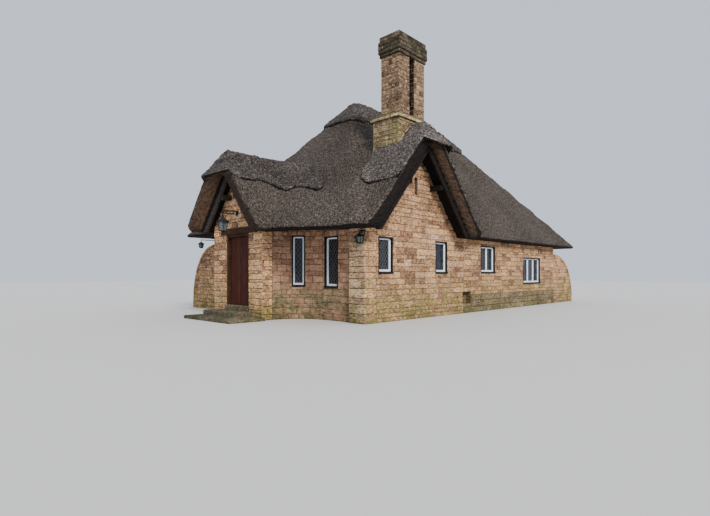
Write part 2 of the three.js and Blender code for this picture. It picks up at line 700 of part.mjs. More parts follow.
add(
  "chimney_shaft",
  cut(
    box(SHAFT.x0, SHAFT.x1, SHAFT.y0, SHAFT.y1, SHAFT.z0, SHAFT.z1 - GAP),
    box(FLUE_SLOT.x0, FLUE_SLOT.x1, SHAFT.y0 - OVER, SHAFT.y0 + FLUE_SLOT.deep, ...slotZ),
    box(FLUE_SLOT.x0, FLUE_SLOT.x1, SHAFT.y1 - FLUE_SLOT.deep, SHAFT.y1 + OVER, ...slotZ),
  ),
  "stone",
);
const tier = ({ z0, z1, out }) => {
  return box(SHAFT.x0 - out, SHAFT.x1 + out, SHAFT.y0 - out, SHAFT.y1 + out, z0, z1);
};
const crown = join(...CROWN.map(tier));
const shaftY = (SHAFT.y0 + SHAFT.y1) / 2;
const flueY = [shaftY - FLUE.long / 2, shaftY + FLUE.long / 2];
const flueZ = [CROWN[1].z0, CROWN[2].z1 + OVER];
const flues = FLUE.x.map((x) => box(x - FLUE.wide / 2, x + FLUE.wide / 2, ...flueY, ...flueZ));
add("chimney_cap", cut(crown, ...flues), "stone");

// A board under one side of a verge, in x and z for a gable whose centre is 0, with its purlin ends
function boardOutline(gable) {
  const top = gable.apex - plumb(THATCH + 2 * GAP, gable.pitch);
  const bottom = top - plumb(BOARD.high, gable.pitch);
  const slope = rise(gable.pitch);
  const foot = EAVE - BOARD.belowEave;
  return [
    [GAP / 2, top],
    [GAP / 2, bottom],
    [(bottom - foot) / slope, foot],
    [(top - EAVE + 2 * GAP) / slope, foot],
    [(top - EAVE + 2 * GAP) / slope, EAVE - 2 * GAP],
  ];
}

// A purlin end, whose top is a little way into the board's lower edge
function purlin(gable, share, along0, along1) {
  const bottom = gable.apex - plumb(THATCH + 2 * GAP, gable.pitch) - plumb(BOARD.high, gable.pitch);
  const across = ((bottom - EAVE) / rise(gable.pitch)) * share;
  const top = bottom - across * rise(gable.pitch) + PURLIN.bite;
  return box(across - PURLIN.wide / 2, across + PURLIN.wide / 2, along0, along1, top - PURLIN.high, top);
}

const mirrorX = (piece) => piece.mirror([1, 0, 0]);
const gableBoard = join(
  alongY(outline(boardOutline(GABLE)), BOARD.gable, BOARD.gable + BOARD.thick),
  purlin(GABLE, PURLIN.gable, BOARD.gable + PURLIN.behind, -GAP),
);
const underThatch = (piece) => piece.subtract(thatchSeat);
add("gable_board_right", underThatch(gableBoard.translate([GABLE.x, 0, 0])), "timber");
add("gable_board_left", underThatch(mirrorX(gableBoard).translate([GABLE.x, 0, 0])), "timber");

const porchBoard = join(
  alongY(outline(boardOutline(PORCH)), BOARD.porch, BOARD.porch + BOARD.thick),
  purlin(PORCH, PURLIN.porch, BOARD.porch + PURLIN.behind, PORCH_X - GAP),
);
const porchRight = porchBoard.rotate([0, 0, 90]).mirror([1, 0, 0]).mirror([0, 1, 0]);
add("porch_board_right", underThatch(porchRight.translate([0, PORCH.y, 0])), "timber");
const porchLeft = cut(
  porchRight.mirror([0, 1, 0]).translate([0, PORCH.y, 0]),
  box(PORCH.front, 0, HIGH_EAVE.roomY, MAIN.y1, 0, highEaveUnder - BOARD.belowEave),
);
add("porch_board_left", underThatch(porchLeft), "timber");

// Lanterns, made reaching out along -X from a wall plate at the origin
const PLATE = { thick: 12, half: 45, below: 70, above: 28 };
const ARM = { bar: 14, apart: 50, hang: 15 };

function lantern({ reach, body, high, arms }) {
  const half = ARM.bar / 2;
  const plate = box(-PLATE.thick, 0, -PLATE.half, PLATE.half, -PLATE.below, PLATE.above);
  const bars = [];
  for (let i = 0; i < arms; i += 1) {
    const z = -i * ARM.apart;
    bars.push(box(-reach - ARM.bar, -5, -half, half, z - half, z + half));
  }
  const top = -(arms - 1) * ARM.apart;
  const tie = box(-reach - ARM.bar, -reach + ARM.bar, -half, half, top - ARM.hang - 5, half);
  const parts = [
    { r0: 18, r1: 18, share: 0.12 },
    { r0: body * 0.35, r1: body * 1.15, share: 0.3 },
    { r0: body, r1: body * 0.72, share: 0.5 },
    { r0: body * 0.6, r1: 16, share: 0.08 },
  ];
  let z = top - ARM.hang;
  const turned = parts.map(({ r0, r1, share }) => {
    const tall = high * share;
    const geometry = new THREE.CylinderGeometry(r0, r1, tall + 4, 6);
    geometry.rotateX(Math.PI / 2);
    geometry.translate(-reach, 0, z - tall / 2);
    z -= tall;
    return solid(geometry);
  });
  return join(plate, ...bars, tie, ...turned);
}
for (const l of LANTERNS) add(l.name, lantern(l).translate([l.x - GAP, l.y, l.z]), "iron");

export default root;
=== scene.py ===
# %% [markdown]
# # A thatched stone cottage
# The real building is a low house of coursed sandstone under one long thatched roof. A cross gable
# with a chimney on it stands at the front, and a gabled porch with a plank door at the left.
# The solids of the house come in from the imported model. They are the fixed frame: nothing below
# moves them. This lesson lays the thatch, the stones and the joinery over them.

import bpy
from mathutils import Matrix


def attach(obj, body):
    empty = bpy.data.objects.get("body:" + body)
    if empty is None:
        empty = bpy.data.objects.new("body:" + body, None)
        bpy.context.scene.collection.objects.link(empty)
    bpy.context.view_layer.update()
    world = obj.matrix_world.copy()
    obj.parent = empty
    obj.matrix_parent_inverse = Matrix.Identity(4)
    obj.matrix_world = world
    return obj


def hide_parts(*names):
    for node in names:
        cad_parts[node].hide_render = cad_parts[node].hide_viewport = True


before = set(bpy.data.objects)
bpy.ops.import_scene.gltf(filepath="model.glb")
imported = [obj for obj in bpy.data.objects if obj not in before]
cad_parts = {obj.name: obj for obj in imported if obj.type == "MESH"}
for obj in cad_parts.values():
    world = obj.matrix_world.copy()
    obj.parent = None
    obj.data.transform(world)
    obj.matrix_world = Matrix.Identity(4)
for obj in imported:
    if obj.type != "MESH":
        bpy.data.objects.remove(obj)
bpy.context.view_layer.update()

import math
import random
from itertools import product

import bpy
import numpy as np
from mathutils import Vector, noise
from mathutils.geometry import delaunay_2d_cdt

# %% [markdown]
# ## Where things are
# A house is easiest to measure from one corner. Every place below is in metres from the front left
# corner of the main block: X along the front wall, Y inwards, Z up. The frame's origin is under the
# middle of the floor, so `MIDDLE` is taken off each point when a piece is made. The camera stands
# where the photo's perspective puts the eye: in front of that corner, 1.24 m above the ground.


# %% The house corner, and the camera
def add_object(name, data):
    made = bpy.data.objects.new(name, data)
    bpy.context.scene.collection.objects.link(made)
    return made


MIDDLE = Vector((5.825, 3.5, 0.0))
EYE = Vector((-8.738, -7.853, 1.24))
LOOK = Vector((0.725, 0.688, 0.0))

camera_data = bpy.data.cameras.new("viewpoint")
camera_data.sensor_width = 36.0
camera_data.lens = 24.34
camera_data.shift_y = 0.0218
camera_data.clip_end = 200.0
camera = add_object("viewpoint", camera_data)
camera.location = EYE - MIDDLE
camera.rotation_euler = (math.radians(90), 0, -math.atan2(LOOK.x, LOOK.y))
bpy.context.scene.camera = camera
print("camera at", [round(v, 3) for v in camera.location])

# %% [markdown]
# ## Light
# The light is that of a bright, overcast day and comes from behind the viewer. A pale
# world gives the soft fill, and one wide sun gives the shade under the eaves and the caps.

# %% A pale world and one soft sun
world = bpy.data.worlds.new("pale sky")
world.use_nodes = True
background = world.node_tree.nodes["Background"].inputs
background["Color"].default_value = (0.80, 0.87, 1.0, 1.0)
background["Strength"].default_value = 1.0
bpy.context.scene.world = world

sun_data = bpy.data.lights.new("soft sun", "SUN")
sun_data.energy = 3.7
sun_data.angle = math.radians(18)
sun_data.color = (1.0, 0.955, 0.89)
SUN_SHINES = Vector((0.33, 0.80, -0.60))
add_object("soft sun", sun_data).rotation_euler = SUN_SHINES.to_track_quat("-Z", "Y").to_euler()
print("sun strength", sun_data.energy)

# %% [markdown]
# ## Making a piece
# All the pieces are built from lists of points and faces. One helper turns such lists into an
# object, gives it its finish, and hangs it on the body that carries it. Numbers can travel with
# the faces for the finishes to read: `tint`, a random number for each stone or board, and `comb`,
# the place of a point across and down a slope.


# %% Helpers that turn points and faces into a piece
def add_piece(name, points, faces, finish, slot, body="house", numbers=None, comb=None, replaces=()):
    mesh = bpy.data.meshes.new(name)
    moved = np.asarray(points, float) - np.array(MIDDLE)
    mesh.from_pydata(moved.tolist(), [], [tuple(int(i) for i in face) for face in faces])
    mesh.materials.append(finish)
    for label, values in numbers.items():
        layer = mesh.attributes.new(label, "FLOAT", "FACE")
        layer.data.foreach_set("value", np.asarray(values, np.float32))
    if comb is not None:
        layer = mesh.attributes.new("comb", "FLOAT_VECTOR", "CORNER")
        layer.data.foreach_set("vector", np.asarray(comb, np.float32).ravel())
        mesh.shade_smooth()
    mesh.update()
    made = add_object(name, mesh)
    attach(made, body)
    if replaces:
        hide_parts(*replaces)
    print(name + ":", len(mesh.polygons), "faces")


class Gathered:
    """The points and faces of one piece, each face with the tint of its stone or bar."""

    def __init__(self, seed):
        self.rng = random.Random(seed)
        self.points, self.faces, self.tints = [], [], []

    def piece(self, name, finish, slot, **more):
        add_piece(name, self.points, self.faces, finish, slot, numbers={"tint": self.tints}, **more)


# %% [markdown]
# ## Shared effects
# Stone, thatch, wood and paint all need a little unevenness, and everything low on the wall or on
# the chimney has moss. Tools and weather leave streaks, soot and lichen. Each such effect is a node
# group, built once, so a finish only sets its numbers.


# %% Helpers for single nodes
def put(tree, kind, inputs, **settings):
    made = tree.nodes.new(kind)
    for key, value in settings.items():
        setattr(made, key, value)
    for key, value in inputs.items():
        if isinstance(value, bpy.types.NodeSocket):
            tree.links.new(value, made.inputs[key])
        else:
            made.inputs[key].default_value = value
    return made


def noise_of(tree, place, scale, detail=2.0, roughness=0.5, distortion=0.0, gives="Fac"):
    return put(tree, "ShaderNodeTexNoise", {
        "Vector": place, "Scale": scale, "Detail": detail, "Roughness": roughness,
        "Distortion": distortion}).outputs[gives]


def math_of(tree, operation, *values, clamp=False):
    made = put(tree, "ShaderNodeMath", dict(enumerate(values)), operation=operation, use_clamp=clamp)
    return made.outputs[0]


def spread(tree, value, low, high, to_low=0.0, to_high=1.0):
    return put(tree, "ShaderNodeMapRange", {"Value": value, "From Min": low, "From Max": high,
                                            "To Min": to_low, "To Max": to_high}).outputs["Result"]


def stretched(tree, place, scale):
    return put(tree, "ShaderNodeMapping", {"Vector": place, "Scale": scale}).outputs[0]


def mix_of(tree, share, a, b):
    return put(tree, "ShaderNodeMix", {"Factor": share, "A": a, "B": b}).outputs["Result"]


print("node helpers: put, noise_of, math_of, spread, stretched and mix_of")


# %% Helpers for colour ramps and groups
def ramp(tree, value, stops):
    made = put(tree, "ShaderNodeValToRGB", {"Fac": value})
    steps = made.color_ramp.elements
    while len(steps) < len(stops):
        steps.new(0.5)
    for step, (at, colour) in zip(steps, stops):
        step.position = at
        step.color = (*colour, 1.0)
    return made.outputs["Color"]


def new_group(name, vectors, numbers, gives, kind="Float"):
    """A group that takes some vectors and numbers, and gives one value or colour."""
    group = bpy.data.node_groups.new(name, "ShaderNodeTree")
    for labels, socket in ((vectors, "NodeSocketVector"), (numbers, "NodeSocketFloat")):
        for label in labels:
            group.interface.new_socket(label, in_out="INPUT", socket_type=socket)
    group.interface.new_socket(gives, in_out="OUTPUT", socket_type="NodeSocket" + kind)
    given, out = group.nodes.new("NodeGroupInput").outputs, group.nodes.new("NodeGroupOutput").inputs
    return group, given, out[gives]


def use_group(tree, group, **inputs):
    return put(tree, "ShaderNodeGroup", inputs, node_tree=group).outputs[0]


print("a group is made by new_group and placed by use_group")

# %% Mottle: two sizes of unevenness in one value
mottle, given, out = new_group("mottle", ["Place"], ["Coarse", "Fine", "Share"], "Value")
coarse = noise_of(mottle, given["Place"], given["Coarse"], 3.0)
fine = noise_of(mottle, given["Place"], given["Fine"], 5.0, 0.65)
mottle.links.new(mix_of(mottle, given["Share"], coarse, fine), out)
print("mottle takes", list(given.keys()))

# %% Streaks: noise drawn out along one way, for chisel marks, reed and the grain of wood
streaks, given, out = new_group("streaks", ["Place", "Stretch"], ["Roughness", "Bend"], "Value")
drawn_out = stretched(streaks, given["Place"], given["Stretch"])
streaks.links.new(noise_of(streaks, drawn_out, 1.0, 6.0, given["Roughness"], given["Bend"]), out)
print("streaks take", list(given.keys()))

# %% Moss: a patchy mask that fades out above a height
moss, given, out = new_group("moss", ["Place"], ["Low", "High", "Patch", "Amount"], "Mask")
height = put(moss, "ShaderNodeSeparateXYZ", {"Vector": given["Place"]}).outputs["Z"]
fade = spread(moss, height, given["Low"], given["High"], 1.0, 0.0)
patches = spread(moss, noise_of(moss, given["Place"], given["Patch"], 6.0, 0.7), 0.38, 0.58)
kept = math_of(moss, "MULTIPLY", fade, patches)
moss.links.new(math_of(moss, "MULTIPLY", kept, given["Amount"], clamp=True), out)
print("moss takes", list(given.keys()))

# %% Stone's own effects: soot in patches, spots of lichen, and a shade for each block
soot_patches, given, out = new_group("soot patches", ["Place"], ["Darkest"], "Shade")
soot_patches.links.new(spread(soot_patches, noise_of(soot_patches, given["Place"], 1.1, 5.0), 0.35, 0.6,
                              given["Darkest"], 1.0), out)

spots, given, out = new_group("lichen spots", ["Place"], ["Amount"], "Mask")
spots.links.new(spread(spots, noise_of(spots, given["Place"], 13.0, 4.0, 0.6), 0.60, 0.70, 0.0,
                       given["Amount"]), out)

blocks, given, out = new_group("block shades", [], ["Tint"], "Shade", "Color")
scattered = put(blocks, "ShaderNodeTexWhiteNoise", {"W": given["Tint"]}, noise_dimensions="1D")
blocks.links.new(ramp(blocks, scattered.outputs["Value"], [
    (0.0, (0.74, 0.72, 0.71)), (0.5, (1.0, 1.0, 1.0)), (1.0, (1.2, 1.19, 1.17))]), out)
print("stone's groups give a shade or a mask each")

# %% Weave: the rows of small blocks that sedge is cut in
weave, given, out = new_group("weave", ["Comb"], [], "Shade", "Color")
wander = noise_of(weave, given["Comb"], 7.0, gives="Color")
stray = put(weave, "ShaderNodeVectorMath", {0: wander, 1: (0.10, 0.07, 0.0), 2: given["Comb"]},
            operation="MULTIPLY_ADD").outputs[0]
sedge_rows = put(weave, "ShaderNodeTexBrick", {
    "Vector": stray, "Color1": (0.78, 0.78, 0.78, 1.0), "Color2": (1.30, 1.28, 1.30, 1.0),
    "Mortar": (0.40, 0.38, 0.38, 1.0), "Scale": 1.0, "Mortar Size": 0.011, "Mortar Smooth": 0.5,
    "Brick Width": 0.15, "Row Height": 0.085})
weave.links.new(sedge_rows.outputs["Color"], out)
print("groups:", [g.name for g in bpy.data.node_groups])


# %% Helpers that start a finish, blend its colours and end it
def start_finish(name):
    made = bpy.data.materials.new(name)
    made.use_nodes = True
    tree = made.node_tree
    return made, tree, put(tree, "ShaderNodeNewGeometry", {}).outputs["Position"]


def blend(tree, how_much, a, b, kind="MIX"):
    made = put(tree, "ShaderNodeMix", {}, data_type="RGBA", blend_type=kind)
    for socket, value in ((made.inputs[0], how_much), (made.inputs[6], a), (made.inputs[7], b)):
        if isinstance(value, bpy.types.NodeSocket):
            tree.links.new(value, socket)
        else:
            socket.default_value = value if isinstance(value, float) else (*value, 1.0)
    return made.outputs[2]


def times(tree, a, b, how_much=1.0):
    return blend(tree, how_much, a, b, "MULTIPLY")


def attribute(tree, name, gives="Fac"):
    return put(tree, "ShaderNodeAttribute", {}, attribute_name=name).outputs[gives]


def end_finish(tree, colour, roughness, specular=0.5, relief=None):
    """Sets the shader. The relief is a value with its strength and depth."""
    shader = tree.nodes["Principled BSDF"].inputs
    tree.links.new(colour, shader["Base Color"])
    shader["Roughness"].default_value = roughness
    shader["Specular IOR Level"].default_value = specular
    if relief:
        bump = put(tree, "ShaderNodeBump", dict(zip(("Height", "Strength", "Distance"), relief)))
        tree.links.new(bump.outputs["Normal"], shader["Normal"])


print("finish helpers: start, blend, multiply, end")

# %% [markdown]
# ## Stone
# The walls are squared sandstone in buff, pink and brown. No two neighbours match, so the colour
# comes from the `tint` number of each block. The marks of the chisel are painted over it as light
# and shade, and pale lichen, moss and damp at the foot and patches of grime are mixed over it. The
# porch's stone is painted lighter as lit, and that of the left walls darker and pinker, partly as
# painted shade. The chimney is the same stone, darker and mossier.

# %% How a stone finish is mixed
LICHEN, DAMP = (0.66, 0.57, 0.42), (0.42, 0.44, 0.34)


def grey(value):
    return (value, value, value)


def stone_finish(name, stops, moss_from, moss_to, moss_amount, moss_colour, soot=0.25, lichen=0.6,
                 chisel_shade=0.9):
    made, tree, place = start_finish(name)
    tint = attribute(tree, "tint")
    grain = use_group(tree, mottle, Place=place, Coarse=6.0, Fine=24.0, Share=0.6)
    wander = math_of(tree, "SUBTRACT", math_of(tree, "MULTIPLY_ADD", grain, 2.2, tint), 1.1, clamp=True)
    hewn = use_group(tree, streaks, Place=place, Stretch=(10.0, 10.0, 30.0), Roughness=0.7)
    # The chisel marks are painted as light and shade: the colour darkens in their grooves and lightens on
    # their ridges.
    shade = ramp(tree, hewn, [(0.39, (0.30, 0.26, 0.24)), (0.5, (0.98, 0.97, 0.96)),
                              (0.62, (1.5, 1.48, 1.44))])
    varied = times(tree, ramp(tree, wander, stops), use_group(tree, blocks, Tint=tint))
    dirty = times(tree, times(tree, varied, shade, chisel_shade),
                  use_group(tree, soot_patches, Place=place, Darkest=1.0 - soot))
    spotted = blend(tree, use_group(tree, spots, Place=place, Amount=lichen), dirty, LICHEN)
    mask = use_group(tree, moss, Place=place, Low=moss_from, High=moss_to, Patch=2.6, Amount=moss_amount)
    # The moss is darkened and lightened along the same marks, as painted light and shade.
    growth = ramp(tree, hewn, [(0.36, tuple(v * 0.35 for v in moss_colour)), (0.5, moss_colour),
                               (0.66, tuple(min(v * 1.8, 1.0) for v in moss_colour))])
    damp = use_group(tree, moss, Place=place, Low=0.0, High=0.75, Patch=1.3, Amount=0.85)
    wet = times(tree, blend(tree, mask, spotted, growth), DAMP, damp)
    end_finish(tree, wet, 0.92, 0.25, (hewn, 0.8, 0.02))
    return made


print("lichen", LICHEN, "damp", DAMP)

# %% The stone finishes
BUFF = [(0.0, (0.21, 0.11, 0.065)), (0.18, (0.34, 0.18, 0.10)), (0.34, (0.55, 0.33, 0.15)),
        (0.50, (0.43, 0.22, 0.14)), (0.64, (0.66, 0.44, 0.23)), (0.80, (0.54, 0.31, 0.12)),
        (0.90, (0.36, 0.18, 0.11)), (1.0, (0.60, 0.38, 0.26))]
# The porch's buff below is the walls' buff made 1.3 times lighter: painted light.
LIT_BUFF = [(at, tuple(1.3 * v for v in colour)) for at, colour in BUFF]
# The next buff, darker and pinker, is for the left walls: painted shade with a pinker tone.
SHADED_PINK_BUFF = [(0.0, (0.30, 0.165, 0.11)), (0.3, (0.44, 0.255, 0.155)), (0.55, (0.38, 0.20, 0.14)),
             (0.8, (0.50, 0.31, 0.19)), (1.0, (0.36, 0.20, 0.13))]
OLIVE = [(0.0, (0.34, 0.235, 0.13)), (0.3, (0.54, 0.40, 0.225)), (0.55, (0.70, 0.54, 0.32)),
         (0.8, (0.50, 0.32, 0.20)), (1.0, (0.38, 0.245, 0.16))]
wall_stone = stone_finish("coursed sandstone", BUFF, 0.20, 1.35, 1.0, (0.28, 0.225, 0.075))
lit_porch_stone = stone_finish("lit sandstone", LIT_BUFF, 0.20, 1.35, 0.9, (0.28, 0.225, 0.075))
shady_stone = stone_finish("shaded pink sandstone", SHADED_PINK_BUFF, 0.40, 1.30, 1.0, (0.16, 0.145, 0.075),
                           lichen=0.3, chisel_shade=0.45)
pier_stone = stone_finish("rock-faced pier stone", OLIVE, 0.10, 1.30, 0.9, (0.22, 0.19, 0.08), 0.3, 0.9)
chimney_stone = stone_finish("mossy chimney stone", [
    (0.0, (0.10, 0.062, 0.04)), (0.3, (0.21, 0.135, 0.08)), (0.55, (0.27, 0.17, 0.10)),
    (0.8, (0.35, 0.24, 0.145)), (1.0, (0.17, 0.10, 0.07))], 4.8, 5.9, 0.8, (0.27, 0.235, 0.10), 0.4, 0.9)
cap_stone = stone_finish("dark chimney head", [
    (0.0, (0.016, 0.012, 0.009)), (0.35, (0.062, 0.038, 0.025)), (0.7, (0.105, 0.066, 0.042)),
    (1.0, (0.18, 0.135, 0.095))], 7.7, 8.6, 0.6, (0.050, 0.050, 0.026), 0.5, 0.3)
# The slot's stone is painted nearly black: the shade of the deep slot.
slot_shade_stone = stone_finish("slot stone in painted shade", [(0.0, (0.012, 0.009, 0.007)), (1.0, (0.040, 0.028, 0.020))],
                           4.0, 4.5, 0.0, grey(0.01), 0.4, 0.0)
ledge_stone = stone_finish("lichened ledge", [(0.0, (0.36, 0.29, 0.13)), (1.0, (0.72, 0.62, 0.36))],
                           5.0, 6.5, 0.5, (0.45, 0.38, 0.10), 0.3, 0.8)
mortar = stone_finish("lime mortar", [
    (0.0, (0.16, 0.10, 0.06)), (0.5, (0.29, 0.19, 0.115)), (1.0, (0.42, 0.29, 0.18))],
    0.1, 1.0, 0.6, (0.10, 0.09, 0.03))
plinth_stone = stone_finish("rough plinth stone", [
    (0.0, (0.11, 0.08, 0.05)), (0.35, (0.20, 0.145, 0.09)), (0.7, (0.32, 0.24, 0.15)),
    (1.0, (0.15, 0.11, 0.075))], 0.1, 0.9, 0.6, (0.20, 0.18, 0.06), 0.35)
flagstone = stone_finish("worn flagstone", [
    (0.0, (0.075, 0.064, 0.046)), (0.5, (0.135, 0.112, 0.078)), (1.0, (0.20, 0.165, 0.115))],
    0.0, 0.4, 0.6, (0.10, 0.095, 0.035), 0.25, 0.2)
print("stone finishes made")

# %% [markdown]
# ## Thatch
# Reed lies down the slope, so its streaks do too. The `comb` numbers run across the slope and down
# it, and noise that is squeezed across and drawn out down it makes the streaks. Where the reed is
# cut, at eaves and verges, the ends show. The `cut` number says where. The ends are painted nearly
# black as shade, and only on three verges, which a second number marks, are they painted brown as
# lit. The sedge of the caps is cut in rows of small blocks, which a brick pattern on the same numbers
# gives.


# %% The thatch finishes
def thatch_finish(name, dark, middle, light, ends, sunlit_ends, tuft_scale, rows):
    made, tree, place = start_finish(name)
    comb = attribute(tree, "comb", "Vector")
    streak = use_group(tree, streaks, Place=comb, Stretch=(30.0, 9.0, 1.0), Roughness=0.7)
    mixed = mix_of(tree, 0.5, streak, noise_of(tree, place, tuft_scale, 5.0, 0.7))
    colour = ramp(tree, mixed, [(0.38, dark), (0.5, middle), (0.63, light)])
    if rows:
        colour = times(tree, colour, use_group(tree, weave, Comb=comb))
    weather = noise_of(tree, place, 0.7, 4.0)
    aged = times(tree, colour, ramp(tree, weather, [(0.35, (0.82, 0.80, 0.78)), (0.65, grey(1.12))]))
    speckle = ramp(tree, mixed, [(0.40, grey(0.25)), (0.5, grey(1.0)), (0.62, grey(1.9))])
    # The reed ends are painted nearly black as shade, and brown as sunlit where the second number says.
    shaded_and_sunlit_ends = times(tree, blend(tree, attribute(tree, "sunlit"), ends, sunlit_ends), speckle)
    end_finish(tree, blend(tree, attribute(tree, "cut"), aged, shaded_and_sunlit_ends), 0.97, 0.12, (mixed, 1.0, 0.05))
    return made


# Each reed finish gives two end colours: nearly black for painted shade, brown for painted sunlight.
reed = thatch_finish("weathered reed", (0.005, 0.004, 0.003), (0.050, 0.040, 0.034), (0.220, 0.184, 0.154),
                     (0.013, 0.010, 0.009), (0.070, 0.042, 0.026), 26.0, False)
# The caps' two end colours: nearly black for painted shade, brown for painted sunlight.
CAP_ENDS = (0.012, 0.010, 0.009), (0.060, 0.036, 0.022)
sedge = thatch_finish("block cut sedge", (0.009, 0.008, 0.007), (0.064, 0.055, 0.050), (0.21, 0.187, 0.170),
                      *CAP_ENDS, 18.0, True)
pale_sedge = thatch_finish("paler sedge", (0.014, 0.012, 0.011), (0.100, 0.086, 0.078), (0.30, 0.268, 0.245),
                           *CAP_ENDS, 18.0, True)
print("thatch finishes made")


# %% [markdown]
# ## The roof as one landscape
# A thatched roof has no hard valleys: the coat is carried round every corner in one sweep. That is
# easiest to make as a landscape, one height for each place in plan. Each slope is a plane, the
# planes are joined with a smooth maximum in the valleys and a smooth minimum at the hips, and the
# plan outline is filled with small triangles.

# %% Measures of the roof
EAVE_TOP, EAVE_UNDER = 2.47, 2.32
LEFT, RIGHT, FRONT, BACK = -0.80, 13.00, -0.35, 7.60
RIDGE_LEFT, RIDGE_RIGHT, RIDGE_Y, RIDGE_Z = 3.18, 8.68, 3.50, 7.08
GABLE_X, GABLE_APEX, GABLE_PITCH, GABLE_VERGE, GABLE_ROUND, GABLE_END = 1.95, 5.43, 1.1504, -0.60, 0.20, 3.4
PORCH_Y, PORCH_APEX, PORCH_PITCH, PORCH_VERGE, PORCH_ROUND, PORCH_END = 3.78, 4.755, 1.2617, -1.89, 0.262, 2.6
CORNER_A, CORNER_IN, CORNER_PITCH, CORNER_FOOT = (-1.80, 1.95), (0.9067, 0.4219), 0.7002, 2.39
GABLE_HOOD, PORCH_HOOD = (-0.75, 4.71, 1.50), (-1.98, 3.96, 1.74)
HIGH_EAVE, HIGH_FROM, HIGH_REACH, HIGH_RUN = 0.15, 4.40, 0.70, 3.00
SOFT_HIP, SOFT_GABLE, SOFT_PORCH, SOFT_CORNER, SOFT_HOOD = 0.34, 0.5, 0.2, 0.22, 0.1
THICK, GABLE_THICK, PORCH_THICK, CORNER_THICK = 0.684, 0.671, 0.708, 0.537
NOWHERE = -9.0
print("pitch of the front slope:", round((RIDGE_Z - EAVE_TOP) / (RIDGE_Y - FRONT), 2))


# %% The height of each slope
def smooth_max(a, b, width):
    share = np.clip(0.5 + 0.5 * (a - b) / width, 0.0, 1.0)
    return b * (1 - share) + a * share + width * share * (1 - share)


def smooth_min(a, b, width):
    return -smooth_max(-a, -b, width)


def slopes(x, y):
    foot, rise = EAVE_TOP, RIDGE_Z - EAVE_TOP
    left, back = rise / (RIDGE_LEFT - LEFT), rise / (BACK - RIDGE_Y)
    level = HIGH_REACH * left
    lift = HIGH_EAVE * np.clip((HIGH_RUN - x) / (HIGH_RUN - LEFT), 0.0, 1.0)
    flat_left = HIGH_EAVE + (x - LEFT) * (level - HIGH_EAVE) / HIGH_REACH
    flat_back = lift + (BACK - y) * (level - lift) / (level / back)
    return {
        "front": foot + (y - FRONT) * rise / (RIDGE_Y - FRONT),
        "back": foot + np.maximum((BACK - y) * back, flat_back),
        "left": foot + np.maximum((x - LEFT) * left, np.where(y > HIGH_FROM, flat_left, NOWHERE)),
        "right": foot + (RIGHT - x) * rise / (RIGHT - RIDGE_RIGHT),
    }


def hipped(x, y, width):
    s = slopes(x, y)
    ends, sides = smooth_min(s["left"], s["right"], width), smooth_min(s["front"], s["back"], width)
    return smooth_min(ends, sides, width)


def gable_roof(x, y, soft=1.0):
    z = GABLE_APEX - np.sqrt((GABLE_PITCH * (x - GABLE_X)) ** 2 + (soft * GABLE_ROUND) ** 2)
    return np.where(y < GABLE_END, z, NOWHERE)


def porch_roof(x, y, soft=1.0):
    z = PORCH_APEX - np.sqrt((PORCH_PITCH * (y - PORCH_Y)) ** 2 + (soft * PORCH_ROUND) ** 2)
    return np.where(x < PORCH_END, z, NOWHERE)


def corner_roof(x, y):
    inwards = (x - CORNER_A[0]) * CORNER_IN[0] + (y - CORNER_A[1]) * CORNER_IN[1]
    return np.where((x < GABLE_X) & (y < PORCH_Y), CORNER_FOOT + inwards * CORNER_PITCH, NOWHERE)


print("front eave at", float(slopes(6.0, FRONT)["front"]), "and the cross gable at", GABLE_APEX)


# %% The whole roof, from above and from below
def hood_plane(hood, at, lowered=0.0):
    front, z, slope = hood
    return z + (at - front - lowered) * slope


def roof_top(x, y, lowered=0.10):
    gable = smooth_min(gable_roof(x, y), hood_plane(GABLE_HOOD, y, lowered), SOFT_HOOD)
    porch = smooth_min(porch_roof(x, y), hood_plane(PORCH_HOOD, x, lowered), SOFT_HOOD)
    z = smooth_max(hipped(x, y, SOFT_HIP), gable, SOFT_GABLE)
    return smooth_max(smooth_max(z, porch, SOFT_PORCH), corner_roof(x, y), SOFT_CORNER)


def roof_under(x, y):
    z = np.maximum(hipped(x, y, 0.01) - THICK, gable_roof(x, y, 0.2) - GABLE_THICK)
    z = np.maximum(z, porch_roof(x, y, 0.2) - PORCH_THICK)
    z = np.maximum(z, corner_roof(x, y) - CORNER_THICK)
    raised = HIGH_EAVE * np.clip((HIGH_RUN - x) / HIGH_RUN, 0.0, 1.0)
    return np.maximum(z, EAVE_UNDER + np.where(y > HIGH_FROM, raised, 0.0))


def one(function, *place):
    """The value of one of these functions at a single place."""
    return float(function(*[np.array([v], float) for v in place])[0])


print("ridge", round(one(roof_top, 6.0, 3.5), 3), "gable", round(one(roof_top, 1.95, 0.5), 3))

# %% [markdown]
# ## Filling an outline
# A coat of thatch has a top, a cut edge and an underside. The outline is drawn as points a few
# centimetres apart. The top and the underside are filled with triangles that meet those points, and
# rows of faces between them make the edge, which bulges a little as cut reed does.


# %% Helpers that draw an outline
def softened(values, times_over):
    for _ in range(times_over):
        values = 0.25 * np.roll(values, 1, 0) + 0.5 * values + 0.25 * np.roll(values, -1, 0)
    return values


def spaced(corners, step):
    ring = []
    for a, b in zip(corners, corners[1:] + corners[:1]):
        a, b = np.array(a, float), np.array(b, float)
        count = max(1, round(np.linalg.norm(b - a) / step))
        ring += [a + (b - a) * i / count for i in range(count)]
    return softened(np.array(ring), 2)


def outward(ring):
    along = np.roll(ring, -1, 0) - np.roll(ring, 1, 0)
    normal = np.stack([along[:, 1], -along[:, 0]], 1)
    return normal / np.linalg.norm(normal, axis=1, keepdims=True)


print("corner of a square, softened:", softened(np.array([[0, 0], [1, 0], [1, 1], [0, 1]], float), 1)[0])


